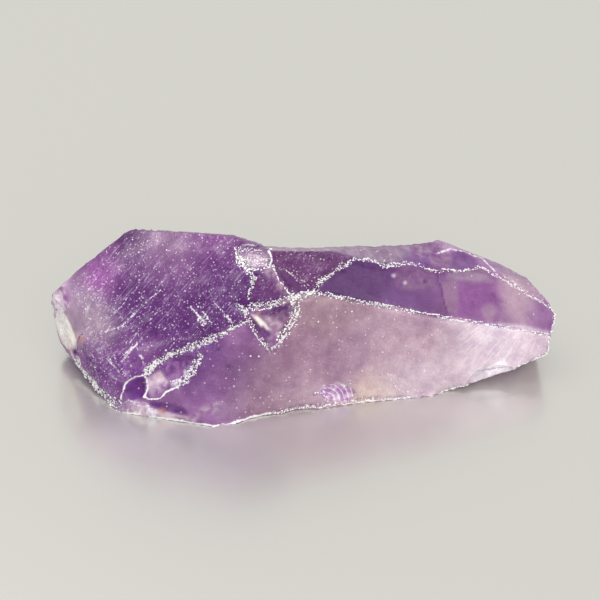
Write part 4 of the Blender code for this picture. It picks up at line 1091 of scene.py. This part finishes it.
class Nodes:
    """A node tree, built one node at a time."""

    def __init__(self, tree):
        self.tree = tree

    def node(self, kind, settings, sockets, out=0):
        """Adds a node: its settings first, then the values or links of its sockets."""
        made = self.tree.nodes.new(kind)
        for name, value in settings.items():
            setattr(made, name, value)
        for name, value in sockets.items():
            if isinstance(value, Value):
                self.tree.links.new(value.socket, made.inputs[name])
            else:
                made.inputs[name].default_value = value
        return Value(self, made.outputs[out]) if made.outputs else made

    def maths(self, operation, first, second=0.0):
        return self.node("ShaderNodeMath", {"operation": operation}, {0: first, 1: second})


class Finish(Nodes):
    """A material and the nodes that make it."""

    def __init__(self, name):
        self.material = bpy.data.materials.new(name)
        self.material.use_nodes = True
        super().__init__(self.material.node_tree)
        self.tree.nodes.clear()

    def place(self):
        """Where a point lies on its own object, in metres."""
        return self.node("ShaderNodeTexCoord", {}, {}, out="Object")

    def clamped(self, value):
        settings = {"operation": "ADD", "use_clamp": True}
        return self.node("ShaderNodeMath", settings, {0: value, 1: 0.0})

    def step(self, value, low, high):
        """0 below low, 1 above high, with a smooth rise."""
        sockets = {"Value": value, "From Min": low, "From Max": high}
        return self.node("ShaderNodeMapRange", {"interpolation_type": "SMOOTHSTEP"}, sockets)

    def blend(self, share, first, second):
        """One colour turning into another."""
        sockets = {0: share, 6: first, 7: second}
        return self.node("ShaderNodeMix", {"data_type": "RGBA"}, sockets, out=2)

    def tint(self, colour, filter_colour):
        """A colour seen through another."""
        settings = {"data_type": "RGBA", "blend_type": "MULTIPLY"}
        return self.node("ShaderNodeMix", settings, {0: 1.0, 6: colour, 7: filter_colour}, out=2)

    def attribute(self, name, out="Fac"):
        return self.node("ShaderNodeAttribute", {"attribute_name": name}, {}, out)

    def parts(self, vector):
        split = self.node("ShaderNodeSeparateXYZ", {}, {0: vector})
        return [Value(self, socket) for socket in split.socket.node.outputs]

    def noise(self, place, scale, detail, roughness=0.5):
        """Cloudy noise from 0 to 1."""
        sockets = {"Vector": place, "Scale": scale, "Detail": detail, "Roughness": roughness}
        return self.node("ShaderNodeTexNoise", {}, sockets)

    def lumps(self, place, size, detail, roughness=0.5):
        """Cloudy noise whose lumps are about this many millimetres."""
        return self.noise(place, 1 / (size * MM), detail, roughness)

    def cells(self, place, size, out):
        sockets = {"Vector": place, "Scale": 1 / (size * MM)}
        return self.node("ShaderNodeTexVoronoi", {}, sockets, out)

    def streaks(self, place, size):
        """Noise drawn out along the way that the streaks run."""
        turn = Vector(STREAK_RUN).to_track_quat("X", "Z").to_euler()
        sockets = {"Vector": place, "Rotation": turn, "Scale": size}
        laid = self.node("ShaderNodeMapping", {"vector_type": "TEXTURE"}, sockets)
        return self.noise(laid, 1.0, 2.0)

    def grains(self, place, size, radius, share):
        """Scattered round grains: cells of this size, of which this share holds a grain."""
        far = self.cells(place, size, "Distance")
        luck, other, _ = self.parts(self.cells(place, size, "Color"))
        reach = (0.5 + other) * (radius / size)
        return self.maths("LESS_THAN", far, reach) * self.step(luck + share, 0.97, 1.0)

    def bump(self, height):
        """Relief from a height in millimetres."""
        return self.node("ShaderNodeBump", {}, {"Height": height, "Strength": 1.0, "Distance": MM})

    def surface(self, colour, roughness, more):
        """A Principled BSDF."""
        sockets = {"Base Color": colour, "Roughness": roughness, **more}
        return self.node("ShaderNodeBsdfPrincipled", {}, sockets)

    def done(self, sockets):
        """The material, with what these sockets of its output show."""
        self.node("ShaderNodeOutputMaterial", {}, sockets)
        return self.material


def quartz_finish():
    """Clear violet quartz with satin faces, white crushed ridges and dust."""
    finish = Finish("violet_quartz")
    place = finish.place()
    tone = finish.attribute("tone", "Color")
    milk = finish.attribute("milk")
    rim = finish.attribute("rim")
    worn = finish.attribute("worn")
    lip = finish.attribute("lip")
    crack = finish.attribute("crack")
    hackle, ring, dust = finish.parts(finish.attribute("marks", "Vector"))
    bearing, phase, ribbed = finish.parts(finish.attribute("run", "Vector"))

    beads = finish.lumps(place, size=0.25, detail=3.0, roughness=0.65)
    grit = finish.lumps(place, size=0.13, detail=2.0, roughness=0.7)
    haze = finish.lumps(place, size=1.1, detail=3.0)
    patches = finish.lumps(place, size=2.6, detail=3.0)
    sway = finish.lumps(place, size=2.4, detail=2.0)

    # Hackles fan out from the blow and waver; rings lie across them.
    sockets = {0: bearing, 1: phase * 0.12 + sway * 1.5, 2: 0.0}
    fan = finish.noise(finish.node("ShaderNodeCombineXYZ", {}, sockets), scale=1.0, detail=5.0)
    rings = finish.maths("SINE", phase + sway * 7.0)

    # What is white, each mark with its own share of it.
    crushed = finish.step(beads + rim * 0.3, 0.76, 0.86)
    bristles = finish.step(finish.streaks(place, BRISTLE_SIZE), 0.52, 0.72)
    dusty = dust * dust
    clusters = dusty * finish.step(patches + haze * 0.5, 0.5, 1.0)
    fine_dust = finish.grains(place, size=0.28, radius=0.06, share=dusty * (0.25 + patches))
    coarse_dust = finish.grains(place, size=0.8, radius=0.085, share=dusty * 0.35)
    streaked = finish.step(finish.streaks(place, STREAK_SIZE) + haze * 0.3, 0.74, 0.86) * dusty
    feather = finish.step(fan, 0.5, 0.68) * hackle
    rib = finish.step(rings + beads * 1.6, 1.2, 2.0) * ribbed
    scuffed = finish.step(beads + worn * 0.3, 0.62, 0.8) * worn
    bright_lip = finish.step(lip * 0.9 + beads, 0.8, 1.2)
    white = finish.clamped(
        crushed
        + bright_lip * 0.9
        + fine_dust * 0.4
        + coarse_dust * 0.75
        + bristles * clusters * 0.3
        + streaked * 0.17
        + feather * 0.3
        + rib * 0.5
        + scuffed * 0.5
    )

    # Painted shade: darker gaps between the crumbs, where the violet quartz shows in their shade, and a
    # painted shadow along cracks.
    crumb_gap_shade = finish.step(rim, 0.3, 0.7) * (1 - crushed)
    dark = finish.clamped(crumb_gap_shade * 0.3 + finish.step(crack, 0.35, 0.6) * 0.9)

    # Heights in millimetres.
    relief = finish.bump(
        grit * (0.01 + dust * 0.025)
        + beads * (0.02 + crushed * 0.22 + scuffed * 0.12)
        + haze * 0.05
        + fan * hackle * 0.14
        + rings * ring * 0.02
        + (fine_dust + coarse_dust) * 0.04
        + bristles * dusty * 0.02
        + bright_lip * 0.05
        - crack * 0.1
    )

    # Colours of the frosted skin and of the clear quartz under it, and how much is frosted.
    grain = finish.step(grit, 0.42, 0.68) * (0.2 + dust * 0.8)
    mottled = finish.step(haze * 0.4 + patches * 0.35 + beads * 0.25, 0.36, 0.64)
    shade = finish.clamped(mottled * 0.6 + grain * 0.4)
    light_tone = finish.blend(0.06, finish.tint(tone, LIGHTER), WHITE)
    varied = finish.blend(shade, finish.tint(tone, DEEPER), light_tone)
    darkened = finish.blend(dark, varied, finish.tint(tone, PAINTED_SHADE_TINT))
    gloss = {"IOR": QUARTZ_IOR, "Specular Tint": GLOSS_TINT, "Normal": relief}
    crystal = finish.surface(
        finish.blend(0.2, darkened, WHITE),
        0.1 + milk * 0.35,
        {"Transmission Weight": 1.0, **gloss},
    )
    frost = finish.surface(
        finish.blend(white * 0.9, darkened, (*linear("snow"), 1.0)),
        0.3 + haze * 0.2 + white * 0.1,
        {"Specular IOR Level": 0.25, **gloss},
    )
    frosted = finish.clamped(milk * (0.9 + patches * 0.2) + white + dark * 0.5)
    mixed = finish.node("ShaderNodeMixShader", {}, {0: frosted, 1: crystal, 2: frost})
    sockets = {"Color": BODY_COLOUR, "Density": BODY_DENSITY}
    body = finish.node("ShaderNodeVolumeAbsorption", {}, sockets)
    return finish.done({"Surface": mixed, "Volume": body})


def crumb_finish():
    """White crushed quartz with a little violet in it."""
    finish = Finish("crushed_quartz")
    place = finish.place()
    grit = finish.lumps(place, size=0.08, detail=3.0, roughness=0.7)
    haze = finish.lumps(place, size=0.5, detail=2.0)
    violet = finish.step(haze * 0.6 + grit * 0.4, 0.5, 0.75)
    colour = finish.blend(violet, (*linear("snow"), 1.0), (*linear("heather"), 1.0))
    gloss = {"IOR": QUARTZ_IOR, "Normal": finish.bump(grit * 0.03)}
    return finish.done({"Surface": finish.surface(colour, 0.2 + grit * 0.4, gloss)})


def crumb_tree():
    """Strews crumbs along lines, as wide as their reach, and lays them on the stone."""
    tree = bpy.data.node_groups.new("ridge_crumbs", "GeometryNodeTree")
    tree.is_modifier = True
    inputs = {"Lines": "Geometry", "Stone": "Object", "Finish": "Material"}
    inputs.update({name: "Float" for name in CRUMB_SIZES}, Seed="Int")
    for name, kind in inputs.items():
        tree.interface.new_socket(name, in_out="INPUT", socket_type="NodeSocket" + kind)
    tree.interface.new_socket("Crumbs", in_out="OUTPUT", socket_type="NodeSocketGeometry")
    nodes = Nodes(tree)
    given = nodes.node("NodeGroupInput", {}, {}).socket.node.outputs
    lines, stone_body, finish, spacing, smallest, largest, seed = (
        Value(nodes, given[name]) for name in inputs
    )

    def add(kind, settings=None, out=0, **sockets):
        return nodes.node("GeometryNode" + kind, settings or {}, sockets, out)

    def drawn(sockets):
        """A random vector for each point."""
        return nodes.node("FunctionNodeRandomValue", {"data_type": "FLOAT_VECTOR"}, sockets)

    curve = add("MeshToCurve", Mesh=lines)
    points = add("ResampleCurve", {"mode": "LENGTH"}, Curve=curve, Length=spacing)
    reach = add("InputNamedAttribute", Name="reach")
    aside = drawn({"Min": (-1.0, -1.0, -1.0), "Max": (1.0, 1.0, 1.0), "Seed": seed})
    sockets = {"Vector": aside, "Scale": reach}
    strewn = nodes.node("ShaderNodeVectorMath", {"operation": "SCALE"}, sockets)
    moved = add("SetPosition", Geometry=points, Offset=strewn)
    body = add("ObjectInfo", Object=stone_body, out="Geometry")
    laid = nodes.node("GeometryNodeProximity", {}, {0: body}, out="Position")
    settled = add("SetPosition", Geometry=moved, Position=laid)
    crumb = add("MeshIcoSphere", Radius=1.0, Subdivisions=1)
    turn = drawn({"Max": (6.28, 6.28, 6.28), "Seed": seed + 1})
    sizes = drawn({"Min": smallest, "Max": largest, "Seed": seed + 2})
    crumbs = add("InstanceOnPoints", Points=settled, Instance=crumb, Rotation=turn, Scale=sizes)
    real = add("RealizeInstances", Geometry=crumbs)
    dressed = add("SetMaterial", Geometry=real, Material=finish)
    nodes.node("NodeGroupOutput", {}, {"Crumbs": dressed})
    return tree


def ridge_crumbs(body, skin):
    """Crumbs of crushed quartz along the ridges, sunk half into the stone."""
    places, edges, reaches = [], [], []
    for reach, strength, points in CRUSHED.values():
        for index, place in enumerate(along_path(points, 4 * RIDGE_STEP)):
            if index:
                edges.append((len(places) - 1, len(places)))
            places.append(skin.find_nearest(in_frame(place))[0])
            reaches.append(CRUMB_SPREAD * reach * strength * MM)
    mesh = bpy.data.meshes.new("ridge_lines")
    mesh.from_pydata(places, edges, [])
    write_attribute(mesh, "reach", "FLOAT", np.array(reaches))
    obj = added("ridge_crumbs", mesh)
    tree = crumb_tree()
    strew = obj.modifiers.new("crumbs", "NODES")
    strew.node_group = tree
    given = {"Stone": body, "Finish": crumb_finish(), "Seed": CRUMB_SEED, **CRUMB_SIZES}
    for socket in tree.interface.items_tree:
        if socket.name in given:
            strew[socket.identifier] = given[socket.name]
    made = settle_modifiers(obj)
    move_points(made, inside_box(gathered(made.vertices, "co", 3)))
    return obj


def floor():
    """A plain pale surface, slightly satin."""
    side = FLOOR_SIDE
    corners = [(-side, -side, 0.0), (side, -side, 0.0), (side, side, 0.0), (-side, side, 0.0)]
    mesh = bpy.data.meshes.new("floor")
    mesh.from_pydata(corners, [], [(0, 1, 2, 3)])
    finish = Finish("pale_floor")
    paint = finish.surface(FLOOR_COLOUR, 0.24, {"Metallic": 0.7})
    mesh.materials.append(finish.done({"Surface": paint}))
    obj = added("floor", mesh)


def soft_light(name, place, size, power, colour):
    """A square lamp at a place in metres, turned to the middle of the stone's foot."""
    lamp = bpy.data.lights.new(name, "AREA")
    lamp.shape = "SQUARE"
    lamp.size = size
    lamp.energy = power
    lamp.color = colour
    obj = added(name, lamp)
    obj.location = place
    obj.rotation_euler = (-Vector(place)).to_track_quat("-Z", "Y").to_euler()


def studio():
    world = bpy.data.worlds.new("studio")
    world.use_nodes = True
    sky = world.node_tree.nodes["Background"]
    sky.inputs["Color"].default_value = (1.0, 0.99, 0.965, 1.0)
    sky.inputs["Strength"].default_value = EVEN_LIGHT
    bpy.context.scene.world = world
    bpy.context.scene.view_settings.view_transform = "Standard"
    soft_light("top_light", (-0.18, 0.08, 0.58), size=0.5, power=1.5, colour=(1.0, 0.99, 0.97))
    soft_light("front_light", (0.2, -0.5, 0.45), size=0.6, power=2.4, colour=(1.0, 1.0, 1.0))


def camera():
    seen = bpy.data.cameras.new("camera")
    seen.lens = LENS
    obj = added("camera", seen)
    back = Vector((0.0, -math.cos(CAMERA_ANGLE), math.sin(CAMERA_ANGLE))) * CAMERA_DISTANCE
    obj.location = (Vector(LOOK_AT) + back) * MM
    obj.rotation_euler = (math.pi / 2 - CAMERA_ANGLE, 0.0, 0.0)
    bpy.context.scene.camera = obj


def main():
    noise.seed_set(WOBBLE_SEED)
    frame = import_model()
    shape = solid_shape(frame["nodes"]["amethyst"])
    skin = BVHTree.FromBMesh(shape)
    body = stone(shape, skin)
    shape.free()
    body.data.materials.clear()
    body.data.materials.append(quartz_finish())
    for piece in (body, ridge_crumbs(body, skin)):
        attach(piece, "root")
    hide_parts("amethyst")
    floor()
    studio()
    camera()


main()
